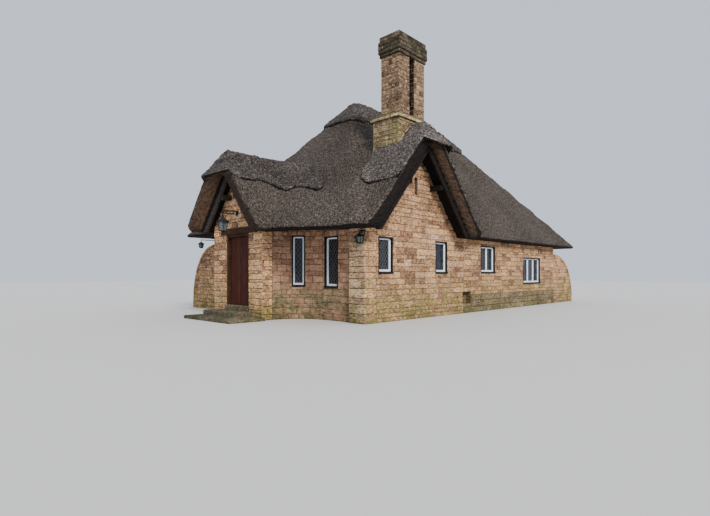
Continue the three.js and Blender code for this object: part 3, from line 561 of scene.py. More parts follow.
# %% Helpers that fill an outline
def inside(ring, points):
    x, y = points[:, 0], points[:, 1]
    hit = np.zeros(len(points), bool)
    for (x0, y0), (x1, y1) in zip(ring, np.roll(ring, -1, 0)):
        crosses = (y0 > y) != (y1 > y)
        with np.errstate(divide="ignore", invalid="ignore"):
            hit ^= crosses & (x < (x1 - x0) * (y - y0) / (y1 - y0) + x0)
    return hit


def fill(ring, step, seed):
    """Triangles over the inside of a ring, with a list of the points that lie on the ring itself."""
    low, high = ring.min(0), ring.max(0)
    xs, ys = np.arange(low[0], high[0], step), np.arange(low[1], high[1], step)
    grid = np.stack(np.meshgrid(xs, ys, indexing="ij"), -1).reshape(-1, 2)
    grid += np.random.default_rng(seed).uniform(-0.16, 0.16, grid.shape) * step
    grid = grid[inside(ring - outward(ring) * step * 0.55, grid)]
    points, loop = [Vector(p) for p in np.vstack([ring, grid])], list(range(len(ring)))
    out_points, _, faces, sources, _, _ = delaunay_2d_cdt(
        points, list(zip(loop, loop[1:] + loop[:1])), [loop], 1, 1e-6)
    edge = {s: i for i, source in enumerate(sources) for s in source if s < len(ring)}
    return np.array([tuple(p) for p in out_points]), faces, [edge[i] for i in loop]


def uneven(points, size, depth, upright=1):
    """Smooth noise for each point, in waves of about this size."""
    return np.array([noise.noise(Vector((x, y, z * upright)) / size) for x, y, z in points]) * depth


SQUARE = spaced([(0, 0), (1, 0), (1, 1), (0, 1)], 0.25)
print("triangles in a square metre at 0.25 m:", len(fill(SQUARE, 0.25, 1)[1]))


# %% [markdown]
# ## Which way the reed runs
# Every face belongs to one slope, the one that is on top at its middle. Across that slope is X for
# the front and the back, Y for the ends and the cross gable, and the line of the eave for the
# corner. Each slope has a shift of its own, so that the streaks of two slopes never match.

# %% The comb of a face, and where its reed ends are painted as sunlit
SHIFTS = {"front": 0.0, "back": 20.0, "left": 40.0, "right": 60.0}
GABLE_SHIFT, PORCH_SHIFT, FAR_SIDE_SHIFT, CORNER_SHIFT = 80.0, 110.0, 3.0, 150.0
DOWN_SLOPE = 1.35


def comb_of(corner, middle):
    x, y = middle[0], middle[1]
    s = slopes(x, y)
    kind = min(s, key=s.get)
    height, shift = s[kind], SHIFTS[kind]
    across = corner[:, 0] if kind in ("front", "back") else corner[:, 1]
    for form, line, extra in ((gable_roof, corner[:, 1], GABLE_SHIFT),
                              (porch_roof, corner[:, 0], PORCH_SHIFT)):
        other = float(form(x, y))
        if other > height:
            height, across, shift = other, line, extra + (FAR_SIDE_SHIFT if x > GABLE_X else 0.0)
    if float(corner_roof(x, y)) > height:
        across, shift = corner[:, 1] * CORNER_IN[0] - corner[:, 0] * CORNER_IN[1], CORNER_SHIFT
    return np.column_stack([across + shift, corner[:, 2] * DOWN_SLOPE, np.zeros(len(corner))])


def sunlit_share(middle):
    """How much the reed ends are painted brown as sunlit: on both verges of the porch and low on the gable's
    right one.
    """
    x, y, z = middle
    if x < -1.63 and y > PORCH_Y:
        return 1.0
    if y < -0.44 and x > GABLE_X and float(gable_roof(x, y)) - z > 0.28:
        return 0.6
    return 0.55 if x < -1.66 and y < PORCH_Y else 0.0


print("slopes:", list(SHIFTS), "and the gable, the porch and the corner")


# %% A helper that lays one coat
def coat(name, corners, top, under, finish, slot, replaces, step, under_step, seed, rows, top_rows, rough,
         bulge, edge_in=0.01, lean=np.zeros_like, blocks=None):
    """Edge rows from `top_rows` down show cut ends. `rough` is the size and depth of the top's waves."""
    ring = spaced(corners, step * 0.9)
    flat, faces, edge = fill(ring, step, seed)
    points = np.column_stack([flat, top(flat[:, 0], flat[:, 1])])
    points[:, 2] += uneven(points, rough[0], rough[1]) + uneven(points, rough[0] * 6, rough[1] * 1.4)
    if blocks is not None:
        points[:, 2] += blocks(points)
    low_flat, low_faces, low_edge = fill(ring - outward(ring) * edge_in + lean(ring), under_step, seed + 1)
    low = np.column_stack([low_flat, under(low_flat[:, 0], low_flat[:, 1])])
    parts, loops, offset = [points], [list(edge)], len(points)
    normal = np.column_stack([outward(ring), np.zeros(len(ring))])
    for row in range(1, rows):
        share = row / rows
        between = points[edge] * (1 - share) + low[low_edge] * share
        between += normal * bulge * math.sin(math.pi * share)
        between += normal * uneven(between, 0.05, 0.012, 3)[:, None]
        parts.append(between)
        loops.append([offset + i for i in range(len(ring))])
        offset += len(ring)
    parts.append(low)
    loops.append([offset + i for i in low_edge])
    all_faces = [tuple(f) for f in faces] + [tuple(offset + i for i in reversed(f)) for f in low_faces]
    cut = [0.0] * len(faces) + [1.0] * len(low_faces)
    for row, (upper, lower) in enumerate(zip(loops, loops[1:])):
        for i in range(len(ring)):
            j = (i + 1) % len(ring)
            all_faces.append((upper[i], lower[i], lower[j], upper[j]))
            cut.append(1.0 if row >= top_rows(*ring[i]) else 0.0)
    points = np.vstack(parts)
    # Each face also gets its share of painted sunlight on the reed ends.
    comb, sunlit = [], []
    for face in all_faces:
        corner = points[list(face)]
        comb.append(comb_of(corner, corner.mean(0)))
        sunlit.append(sunlit_share(corner.mean(0)))
    add_piece(name, points, all_faces, finish, slot, numbers={"cut": cut, "sunlit": sunlit},
              comb=np.vstack(comb), replaces=replaces)


# %% Lay the thatch
PORCH_EDGE, GABLE_EDGE = -1.86, -0.57


def verge_lean(ring):
    """Cut back under the verges: the reed ends lean in by this much from top to bottom."""
    move = np.zeros_like(ring)
    move[ring[:, 0] < PORCH_EDGE, 0] = 0.16
    move[(ring[:, 1] < GABLE_EDGE) & (ring[:, 0] > -0.6) & (ring[:, 0] < 4.5), 1] = 0.06
    return softened(move, 3)


# Verge rims show reed ends from their second row down, eave rims only in the lowest rows; those ends are
# painted dark as shade unless marked as sunlit.
def thatch_rows(x, y):
    on_verge = x < PORCH_EDGE or (y < GABLE_EDGE and -0.7 < x < 4.6)
    return 1 if on_verge else 3


ROOF_PLAN = [(-0.64, -0.60), (4.54, -0.60), (4.56, -0.35), (13.0, -0.35), (13.0, 7.6), (-0.8, 7.6),
             (-0.8, 5.47), (-1.89, 5.47), (-1.89, 1.97), (-1.80, 1.95), (-0.66, -0.50)]
THATCH_NODES = ["thatch_" + n for n in ("gable", "porch", "corner", "left", "front", "back", "right")]
coat("thatch_coat", ROOF_PLAN, roof_top, roof_under, reed, "thatch", THATCH_NODES,
     step=0.052, under_step=0.14, seed=3, rows=5, top_rows=thatch_rows,
     rough=(0.095, 0.034), bulge=0.03, edge_in=0.04, lean=verge_lean)


# %% [markdown]
# ## Ridge caps
# A ridge wears out first, so a second coat of sedge is laid over it and cut in blocks, with a wavy
# lower edge that throws a dark line of shade; the nearly black reed ends of its lowest rim rows paint
# that line as well. Each cap follows the landscape below it, raised by its own thickness. Over the
# two gables the cap ends in a small sloping hood with a thin front edge.

# %% The caps' tops, undersides and blocks
CAP_RAISE, HOOD_EDGE, HOOD_REACH = 0.11, 0.04, 0.12
BLOCK_HIGH, BLOCK_WIDE, BLOCK_GAP = 0.13, 0.17, 0.2


def cap_top(x, y):
    gable = np.minimum(gable_roof(x, y) + CAP_RAISE, hood_plane(GABLE_HOOD, y))
    porch = np.minimum(porch_roof(x, y) + CAP_RAISE, hood_plane(PORCH_HOOD, x))
    z = roof_top(x, y, -1.0) + CAP_RAISE
    return np.where(y < GABLE_VERGE + 0.5, gable, np.where(x < PORCH_VERGE + 0.5, porch, z))


def cap_under(x, y):
    behind = np.minimum(y - GABLE_HOOD[0], x - PORCH_HOOD[0])
    thin = cap_top(x, y) - HOOD_EDGE - 0.10 * np.clip(behind / HOOD_REACH, 0.0, 1.0)
    return np.where(behind < HOOD_REACH, thin, np.minimum(roof_top(x, y, 0.0) - 0.03, thin))


def cut_blocks(points):
    """Lifts each block by its own amount and sinks the joints. The sine only scatters the lifts."""
    row = np.floor(points[:, 2] / BLOCK_HIGH)
    across = (points[:, 0] + points[:, 1]) / BLOCK_WIDE + 0.5 * (row % 2)
    column = np.floor(across)
    scatter = np.sin(row * 12.9898 + column * 78.233) * 43758.5453
    edge = np.minimum(across - column, points[:, 2] / BLOCK_HIGH - row)
    return np.where(edge < BLOCK_GAP, -0.018, (scatter - np.floor(scatter)) * 0.04)


print("cap over the main ridge at", round(one(cap_top, 6.0, 3.5), 3))


# %% Lay the caps
def scalloped(a, b, count, depth):
    (x0, y0), (x1, y1) = a, b
    long = math.hypot(x1 - x0, y1 - y0)
    side = ((y1 - y0) / long, -(x1 - x0) / long)
    ring = []
    for i in range(count * 6):
        t = i / (count * 6)
        out = depth * abs(math.sin(math.pi * t * count))
        ring.append((x0 + (x1 - x0) * t + side[0] * out, y0 + (y1 - y0) * t + side[1] * out))
    return ring


MAIN_CORNERS, MAIN_WAVES = [(2.44, 2.78), (9.12, 2.86), (9.12, 4.16), (2.44, 4.24)], [0.07, 0.06, 0.07, 0.05]
MAIN_CAP = []
for i, depth in enumerate(MAIN_WAVES):
    MAIN_CAP += scalloped(MAIN_CORNERS[i], MAIN_CORNERS[(i + 1) % 4], (11, 2)[i % 2], depth)
PORCH_CAP = [(-1.98, 3.07), (-1.80, 3.01), (-1.52, 2.97), (-1.00, 3.00), (-0.655, 2.945), (-0.42, 2.80),
             (-0.36, 2.69), (-0.15, 2.60), (-0.04, 2.20), (-0.06, 1.80), (0.00, 1.66), (0.13, 1.74),
             (0.41, 2.13), (0.59, 2.43), (0.78, 2.99), (0.92, 3.45), (0.95, 3.78), (0.88, 4.20),
             (0.50, 4.56), (-0.10, 4.60), (-0.45, 4.78), (-0.85, 4.66), (-1.30, 4.60), (-1.98, 4.49)]
GABLE_CAP = [(0.36, -0.74), (2.66, -0.74), (2.68, -0.30), (2.64, 0.027), (1.236, 0.027), (1.236, 0.80),
             (1.09, 0.79), (0.73, 0.73), (0.35, 0.56), (0.29, 0.37), (0.28, 0.20), (0.28, 0.00),
             (0.31, -0.35)]
CAPS = (("main", MAIN_CAP, sedge), ("porch", PORCH_CAP, sedge), ("gable", GABLE_CAP, pale_sedge))
# The lowest two rim rows of each cap show reed ends, painted nearly black as the shade under its edge.
for label, plan, finish in CAPS:
    coat("ridge_coat_" + label, plan, cap_top, cap_under, finish, "ridge_thatch", ["ridge_cap_" + label],
         step=0.03, under_step=0.09, seed=11, rows=4, top_rows=lambda x, y: 2,
         rough=(0.08, 0.02), bulge=0.012, blocks=cut_blocks)


# %% [markdown]
# ## Laying stones
# The solid walls are flat. Real walls of this kind show every stone: it stands a few millimetres
# out of the mortar, its edges are rubbed round and its face is a little hollow or full. So each
# course is filled with blocks of random width. A block is a small grid of points, sunk at its rim
# and lifted inside. Blocks stop at the windows and the door.

# %% Helpers that divide a face into blocks
COURSES = [0.08, 0.11, 0.13, 0.15, 0.16, 0.18, 0.21]
WIDTHS = (0.20, 0.55)
JOINT, RUBBED, JOG = 0.004, 0.013, 0.004
SLIVER = 0.035


def take_out(blocks, hole):
    h0, h1, hz0, hz1 = hole
    left = []
    for s0, s1, z0, z1 in blocks:
        if s1 <= h0 or s0 >= h1 or z1 <= hz0 or z0 >= hz1:
            left.append((s0, s1, z0, z1))
            continue
        for part in ((s0, min(s1, h0), z0, z1), (max(s0, h1), s1, z0, z1),
                     (max(s0, h0), min(s1, h1), z0, hz0), (max(s0, h0), min(s1, h1), hz1, z1)):
            if part[1] - part[0] > SLIVER and part[3] - part[2] > SLIVER:
                left.append(part)
    return left


def coursed(rng, s_range, z_range, heights=COURSES, widths=WIDTHS, holes=(), top=None):
    """Blocks as (s0, s1, z0, z1), up to a height that `top` gives for each s."""
    blocks, z = [], z_range[0]
    while z < z_range[1] - 0.03:
        tall = rng.choice(heights)
        if z_range[1] - (z + tall) < 0.07:
            tall = z_range[1] - z
        s = s_range[0] - rng.uniform(0.0, widths[0])
        while s < s_range[1]:
            wide = rng.uniform(*widths) * (1.25 if tall > 0.17 else 0.9)
            if s_range[1] - (s + wide) < 0.10:
                wide = s_range[1] - s
            a, b = max(s, s_range[0]), min(s + wide, s_range[1])
            limit = math.inf if top is None else top(0.5 * (a + b))
            if b - a > 0.04 and z < limit + 0.05:
                high = min(z + tall, limit + 0.16)
                if tall > 0.19 and rng.random() < 0.3 and b - a > 0.16:
                    middle = z + tall * rng.uniform(0.4, 0.6)
                    blocks.append((a, b, z, min(middle, high)))
                    if high > middle + 0.04:
                        blocks.append((a, b, middle, high))
                elif high - z > 0.04:
                    blocks.append((a, b, z, high))
            s += wide
        z += tall
    for hole in holes:
        blocks = take_out(blocks, hole)
    return blocks


print("blocks in 4 m by 2 m:", len(coursed(random.Random(1), (0.0, 4.0), (0.0, 2.0))))


# %% A helper that shapes each block
def stepped(low, high, rub, size):
    """Places across a block: its two ends, and between the rubbed edges steps of about this size."""
    count = max(1, round((high - low - 2 * rub) / size))
    a, b = low + JOINT, high - JOINT
    return [a] + [a + rub + (b - a - 2 * rub) * i / count for i in range(count + 1)] + [b]


class Stones(Gathered):
    def block(self, place, s0, s1, z0, z1, proud, rub=RUBBED, tint=None):
        """Adds one stone, whose face stands proud of the wall by an amount from this range."""
        rng = self.rng
        lift = rng.uniform(*proud)
        tint = rng.random() if tint is None else tint
        across, up = stepped(s0, s1, rub, 0.10), stepped(z0, z1, rub, 0.08)
        first, wide = len(self.points), len(across)
        if not self.faces_out(place, s0, z0):
            across.reverse()
        skew = rng.uniform(-0.004, 0.004)
        for j, z in enumerate(up):
            for i, s in enumerate(across):
                rim = i in (0, wide - 1) or j in (0, len(up) - 1)
                out = -0.004 if rim else lift + rng.uniform(-0.003, 0.003)
                moved = s + rng.uniform(-JOG, JOG) + skew * (j - 1)
                self.points.append(place(moved, z + rng.uniform(-JOG, JOG), out))
        for j, i in product(range(len(up) - 1), range(wide - 1)):
            k = first + j * wide + i
            self.faces.append((k, k + 1, k + 1 + wide, k + wide))
            self.tints.append(tint)

    def faces_out(self, place, s, z):
        """True if a face drawn along s and up z looks the way that `out` goes."""
        start = Vector(place(s, z, 0.0))
        along, up = Vector(place(s + 0.01, z, 0.0)) - start, Vector(place(s, z + 0.01, 0.0)) - start
        return along.cross(up).dot(Vector(place(s, z, 0.01)) - start) > 0

    def lay(self, place, blocks, proud=(0.005, 0.014)):
        for block in blocks:
            self.block(place, *block, proud)

    def courses(self, place, *ranges, proud=(0.005, 0.014), roofed=False, **more):
        """Lays courses over a face. Those of a roofed wall end under the thatch."""
        if roofed:
            more["top"] = lambda s: one(roof_under, *place(s, 0.0, 0.0)[:2])
        self.lay(place, coursed(self.rng, *ranges, **more), proud)


def flat_face(x, y, along, normal=None):
    """A vertical face: s runs along it from a corner, seen from outside left to right."""
    normal = normal or (along[1], -along[0])

    def place(s, z, out):
        return (x + along[0] * s + normal[0] * out, y + along[1] * s + normal[1] * out, z)
    return place


FRONT_FACE, RIGHT_FACE, BACK_FACE, LEFT_FACE = (1, 0), (0, 1), (-1, 0), (0, -1)
print("a stone 0.4 m wide is stepped at", [round(v, 3) for v in stepped(0.0, 0.4, RUBBED, 0.10)])

# %% [markdown]
# ## The walls, face by face
# Seen from outside each face runs from left to right. The window and door openings are the same as
# the solid walls have, so the stones stop exactly at them.

# %% The openings
LENGTH, DEPTH, WING_BUTT = 11.65, 7.0, 0.351
PORCH_X, PORCH_BACK, PORCH_FRONT = -1.28, 4.97, 2.585
PIER_FACE, PIER_BACK = -0.1, 0.54
FRONT_WINDOWS = [("window_3", 0.39, 0.96, 1.24, 2.17, 1), ("window_4", 2.91, 3.52, 1.24, 2.17, 1),
                 ("window_5", 5.53, 6.50, 1.25, 2.15, 2), ("window_6", 8.73, 10.27, 0.85, 1.84, 3)]
LEFT_WINDOW = ("window_2", 1.05, 1.56, 0.86, 2.22, 1)
BACK_WINDOW = ("back_window", 5.00, 6.54, 0.85, 1.84, 3)
CURVE_CENTRE, CURVE = (-0.95, 1.635), 0.95
CURVE_WINDOW = (0.36, 0.88, 2.28)
HATCH, SLIT, BEHIND_CHIMNEY = (4.39, 4.90, 0.30, 0.66), (1.905, 2.035, 3.40, 3.86), (1.24, 2.76, 4.22, 6.0)
DOORWAY = (PORCH_BACK - 4.30, PORCH_BACK - 3.20, 0.0, 2.35)
LINTEL = (PORCH_BACK - 4.56, PORCH_BACK - 2.98, 2.35, 2.50)
WING_SIZES = {"right": (2.12, 2.03), "left": (1.65, 2.25)}
PLINTH_FROM, PLINTH_TOP = 4.45, 0.56
OVER = 0.008


def mirrored(window, end):
    """The opening of a window in a face whose s runs back from `end`."""
    return (end - window[2], end - window[1], window[3], window[4])


print("openings in the front wall:", len(FRONT_WINDOWS) + 2)

# %% Front walls and pier
front = Stones(21)
front_place = flat_face(0, 0, FRONT_FACE)
holes = [w[1:5] for w in FRONT_WINDOWS] + [HATCH, SLIT]
front.courses(front_place, (0.302, PLINTH_FROM), (0.0, 5.1), holes=holes + [BEHIND_CHIMNEY], roofed=True)
front.courses(front_place, (PLINTH_FROM, LENGTH + OVER), (PLINTH_TOP, 2.75), holes=holes, roofed=True)
front.piece("front_stones", wall_stone, "walls")

plinth = Stones(22)
plinth.courses(front_place, (PLINTH_FROM, LENGTH + 0.02), (0.0, PLINTH_TOP), [0.18, 0.2], (0.3, 0.7), holes,
               proud=(0.014, 0.034))
plinth.piece("plinth_stones", plinth_stone, "walls")

pier, pier_side = Stones(23), Stones(27)
rng = pier.rng
z, turn = 0.0, 0
while z < 2.6:
    top = z + rng.choice([0.15, 0.19, 0.24, 0.28])
    split = 0.3 if turn % 2 else 0.12
    for a, b in ((PIER_FACE - 0.01, PIER_FACE + split), (PIER_FACE + split, 0.30)):
        pier.block(front_place, a, b, z, top, (0.008, 0.016), tint=rng.uniform(0.2, 0.9))
    joints = (0.0, PIER_BACK - split, 0.55) if turn % 3 == 1 else (0.0, 0.55)
    for a, b in zip(joints, joints[1:]):
        pier_side.block(flat_face(PIER_FACE, PIER_BACK, LEFT_FACE), a, b, z, top, (0.012, 0.032))
    pier.block(flat_face(0.0, PIER_BACK, BACK_FACE), 0.0, 0.108, z, top, (0.006, 0.01),
               tint=rng.uniform(0.4, 0.8))
    z, turn = top, turn + 1
pier.piece("pier_stones", wall_stone, "walls")
pier_side.piece("pier_side_stones", pier_stone, "walls")


# %% Left side: straight wall, curved wall and porch
def curve_place(s, z, out):
    angle, reach = math.radians(90) - s / CURVE, CURVE - out
    return (CURVE_CENTRE[0] + reach * math.cos(angle), CURVE_CENTRE[1] + reach * math.sin(angle), z)


left = Stones(24)
left.courses(flat_face(0, CURVE_CENTRE[1], LEFT_FACE), (0.0, CURVE_CENTRE[1] - PIER_BACK), (0.0, 2.85),
             holes=[mirrored(LEFT_WINDOW, CURVE_CENTRE[1])], roofed=True)
arc = CURVE * math.radians(90)
half = math.asin(0.5 * CURVE_WINDOW[0] / CURVE) * CURVE
left.courses(curve_place, (0.0, arc), (0.0, 2.9), widths=(0.15, 0.32),
             holes=[(arc / 2 - half, arc / 2 + half, *CURVE_WINDOW[1:])], roofed=True)
# The left walls take the darker, pinker stone: painted shade with a pinker tone.
left.piece("left_stones", shady_stone, "walls")

porch = Stones(25)
porch.courses(flat_face(PORCH_X, PORCH_FRONT, FRONT_FACE), (-OVER, 0.33), (0.0, 2.9), widths=(0.15, 0.33),
              roofed=True)
porch.courses(flat_face(PORCH_X, PORCH_BACK, LEFT_FACE), (-OVER, PORCH_BACK - PORCH_FRONT + OVER), (0.0, 4.6),
              holes=[DOORWAY, LINTEL], roofed=True)
porch.courses(flat_face(0.0, PORCH_BACK, BACK_FACE), (0.0, OVER - PORCH_X), (0.0, 2.9), roofed=True)
# The porch walls take the lighter stone, painted light.
porch.piece("porch_stones", lit_porch_stone, "walls")

# %% Right side, back and left rear
rear = Stones(26)
rear.courses(flat_face(LENGTH, 0.0, RIGHT_FACE), (-OVER, DEPTH + OVER), (0.0, 3.2),
             holes=[(-0.01, WING_BUTT, 0.0, WING_SIZES["right"][1])], roofed=True)
behind_wing = (LENGTH - WING_BUTT, LENGTH + 0.01, 0.0, WING_SIZES["left"][1])
rear.courses(flat_face(LENGTH, DEPTH, BACK_FACE), (-OVER, LENGTH + OVER), (0.0, 2.8), roofed=True,
             holes=[mirrored(BACK_WINDOW, LENGTH), behind_wing])
rear.courses(flat_face(0.0, DEPTH, LEFT_FACE), (-OVER, DEPTH - PORCH_BACK), (0.0, 3.0), roofed=True)
rear.piece("rear_stones", wall_stone, "walls")

# %% [markdown]
# ## Wing walls
# At both ends a low wall sweeps down from the house in one curve, like a sail. Its faces are coursed
# like the house, and stones set on edge follow the curve along its top.

# %% Wing walls with their copings
THICKNESS, COPING_LONG, COPING_DEEP, UNDER_COPING = 0.35, 0.24, 0.10, 0.05
ROUNDNESS, RIM_STEPS = 2 / 2.3, 60


def wing(name, start, along, normal, long, high, seed):
    stones = Stones(seed)
    angles = [math.pi / 2 * i / RIM_STEPS for i in range(RIM_STEPS + 1)]
    rim = [(max(long * math.cos(t) ** ROUNDNESS, 0.0), high * math.sin(t) ** ROUNDNESS) for t in angles]

    def top(s):
        for (s1, z1), (s0, z0) in zip(rim, rim[1:]):
            if s0 <= s <= s1:
                return z0 + (z1 - z0) * (s - s0) / max(s1 - s0, 1e-6) - UNDER_COPING
        return -UNDER_COPING

    def tint():
        return stones.rng.uniform(0.0, 0.5)

    for inner in (0, 1):
        base = (start[0] - normal[0] * THICKNESS * inner, start[1] - normal[1] * THICKNESS * inner)
        place = flat_face(*base, along, [v * (1 - 2 * inner) for v in normal])
        kept = []
        for s0, s1, z0, z1 in coursed(stones.rng, (0.0, long), (0.0, high), widths=(0.16, 0.36)):
            if z1 > top(s1):
                z1 = min(z1, top(s0), top(s1))
            while z1 - z0 < 0.04 and s1 - s0 > 0.06:
                s1 -= 0.03
                z1 = min(z0 + 0.15, top(s1))
            if z1 - z0 > 0.04 and s1 - s0 > 0.05:
                kept.append((s0, s1, z0, z1))
        stones.lay(place, kept)

    walked, copings = 0.0, [rim[0]]
    for previous, point in zip(rim, rim[1:]):
        walked += math.dist(point, previous)
        if walked > COPING_LONG:
            copings.append(point)
            walked = 0.0
    for a, b in zip(copings, copings[1:] + [rim[-1]]):
        length = math.dist(a, b)
        if length < 0.03:
            continue
        step = ((b[0] - a[0]) / length, (b[1] - a[1]) / length)

        def on_rim(s, out, back):
            p, q = a[0] + step[0] * s + step[1] * out, a[1] + step[1] * s - step[0] * out
            return (start[0] + along[0] * p - normal[0] * back, start[1] + along[1] * p - normal[1] * back,
                    max(q, 0.0))

        stones.block(lambda s, across, out: on_rim(s, out, across), 0.0, length, -0.02, THICKNESS + 0.02,
                     (0.012, 0.028), rub=0.02, tint=tint())
        for side_place in (lambda s, across, out: on_rim(s, across - COPING_DEEP, -out),
                           lambda s, across, out: on_rim(s, across - COPING_DEEP, THICKNESS + out)):
            stones.block(side_place, 0.0, length, 0.0, 0.115, (0.014, 0.024), tint=tint())
    stones.piece(name, wall_stone, "walls")


wing("right_wing_stones", (LENGTH, 0.0), (1, 0), (0, -1), *WING_SIZES["right"], 31)
wing("left_wing_stones", (0.0, DEPTH), (0, 1), (-1, 0), *WING_SIZES["left"], 32)

# %% [markdown]
# ## Chimney
# The stack stands astride the cross gable. It has a broad base with a lichened ledge, a shaft with
# a deep slot in its front and back whose stones are painted nearly black as shade, and a dark head of
# three tiers, the middle one widest.
# Each part is a box, so one helper gives its four faces and the stones are laid on them as on walls.


# %% Chimney stones
def four_faces(x0, x1, y0, y1, out=0.0):
    x0, x1, y0, y1 = x0 - out, x1 + out, y0 - out, y1 + out
    return [(flat_face(x0, y0, FRONT_FACE), x1 - x0), (flat_face(x1, y0, RIGHT_FACE), y1 - y0),
            (flat_face(x1, y1, BACK_FACE), x1 - x0), (flat_face(x0, y1, LEFT_FACE), y1 - y0)]


STACK, STACK_FOOT, SHELF_FOOT, SHELF_TOP = (1.246, 2.756, 0.037, 0.927), 4.26, 5.40, 5.48
SHAFT, SHAFT_FOOT, SHAFT_TOP = (1.43, 2.576, 0.165, 0.79), 5.62, 7.20
SLOT, SLOT_DEEP = (1.885, 2.10), 0.2
SMALL, EDGE = [0.10, 0.12, 0.14, 0.16], 0.006
base, shelf = Stones(41), Stones(45)
for place, wide in four_faces(*STACK):
    base.courses(place, (-EDGE, wide + EDGE), (STACK_FOOT, SHELF_FOOT), [0.12, 0.14, 0.17, 0.2], (0.14, 0.36))
base.piece("chimney_base_stones", chimney_stone, "chimney_stone")
for place, wide in four_faces(*STACK, out=0.05):
    flags = coursed(base.rng, (-OVER, wide + OVER), (SHELF_FOOT, SHELF_TOP), [0.08], (0.3, 0.5))
    shelf.lay(place, flags, (0.006, 0.012))
shelf.piece("chimney_ledge_stones", ledge_stone, "chimney_stone")

# The slot's sides and back are laid in that nearly black stone: painted shade.
shaft, slot_shade = Stones(42), Stones(44)
for number, (place, wide) in enumerate(four_faces(*SHAFT)):
    slots = {0: [(SLOT[0] - SHAFT[0], SLOT[1] - SHAFT[0])], 2: [(SHAFT[1] - SLOT[1], SHAFT[1] - SLOT[0])]}
    slot = slots.get(number, [])
    shaft.courses(place, (-EDGE, wide + EDGE), (SHAFT_FOOT, SHAFT_TOP), SMALL, (0.13, 0.34),
                  [(a, b, 5.6, SHAFT_TOP) for a, b in slot])
    for a, b in slot:
        for side_place, across in ((lambda s, z, out: place(a + out, z, -s), SLOT_DEEP),
                                   (lambda s, z, out: place(b - out, z, -s), SLOT_DEEP),
                                   (lambda s, z, out: place(a + s, z, out - SLOT_DEEP), b - a)):
            slot_shade.courses(side_place, (0.0, across), (5.64, SHAFT_TOP), SMALL, (0.1, 0.2),
                          proud=(0.003, 0.006))
shaft.piece("chimney_shaft_stones", chimney_stone, "chimney_stone")
slot_shade.piece("chimney_slot_stones", slot_shade_stone, "chimney_stone")

head = Stones(43)
for z0, z1, out in ((7.20, 7.30, 0.035), (7.30, 7.62, 0.062), (7.62, 7.77, 0.035)):
    for place, wide in four_faces(*SHAFT, out=out):
        head.courses(place, (-EDGE, wide + EDGE), (z0, z1), [0.10, 0.11], (0.14, 0.3), proud=(0.006, 0.018))
head.piece("chimney_head_stones", cap_stone, "chimney_stone")


# %% [markdown]
# ## Paint, glass, iron and wood
# The windows are white casements in black outer frames. Paint is nearly even, so its life comes from
# a faint mottle that runs into a dirtier colour. The glass is old and a little wavy. Boards, lintel
# and door are stained wood with its grain drawn out along the board.


# %% The other finishes
def painted(name, colour, dirt, rough=0.6):
    made, tree, place = start_finish(name)
    value = use_group(tree, mottle, Place=place, Coarse=5.0, Fine=60.0, Share=0.45)
    end_finish(tree, ramp(tree, value, [(0.32, dirt), (0.5, colour), (0.8, colour)]), rough, 0.15,
               (value, 0.12, 0.004))
    return made


def wooden(name, dark, light, along, rough):
    made, tree, place = start_finish(name)
    grain = use_group(tree, streaks, Place=place, Stretch=along, Roughness=0.65, Bend=0.4)
    moved = math_of(tree, "MULTIPLY_ADD", attribute(tree, "tint"), 0.18, grain)
    end_finish(tree, ramp(tree, moved, [(0.35, dark), (0.72, light)]), rough, 0.1, (grain, 0.5, 0.006))
    return made


white_paint = painted("white paint", (0.86, 0.93, 1.0), (0.72, 0.77, 0.82), 0.45)
black_paint = painted("black paint", (0.010, 0.008, 0.008), (0.024, 0.019, 0.017))
lead = painted("lead came", (0.13, 0.135, 0.14), grey(0.06))
iron = painted("dark green iron", (0.012, 0.016, 0.015), (0.03, 0.033, 0.03))
dark_oak = wooden("weathered dark oak", (0.022, 0.017, 0.016), (0.075, 0.062, 0.058), (7.0, 7.0, 30.0), 0.9)
black_oak = wooden("black oak", (0.006, 0.005, 0.005), (0.020, 0.016, 0.014), (7.0, 7.0, 30.0), 0.9)
brown_oak = wooden("brown oak", (0.020, 0.010, 0.006), (0.085, 0.040, 0.024), (6.0, 30.0, 6.0), 0.7)
door_boards = wooden("door boards", (0.020, 0.006, 0.004), (0.075, 0.020, 0.012), (34.0, 34.0, 3.0), 0.65)

glass, tree, place = start_finish("old window glass")
wavy = noise_of(tree, place, 9.0)
end_finish(tree, ramp(tree, wavy, [(0.3, (0.012, 0.014, 0.018)), (0.7, (0.030, 0.036, 0.044))]), 0.05,
           relief=(wavy, 0.06, 0.01))
tree.nodes["Principled BSDF"].inputs["IOR"].default_value = 1.25

lantern_glass, tree, place = start_finish("lantern glass")
bubbles = ramp(tree, noise_of(tree, place, 30.0), [(0.3, (0.035, 0.042, 0.042)), (0.7, (0.12, 0.135, 0.135))])
end_finish(tree, bubbles, 0.12)
print("paint, wood and glass made")


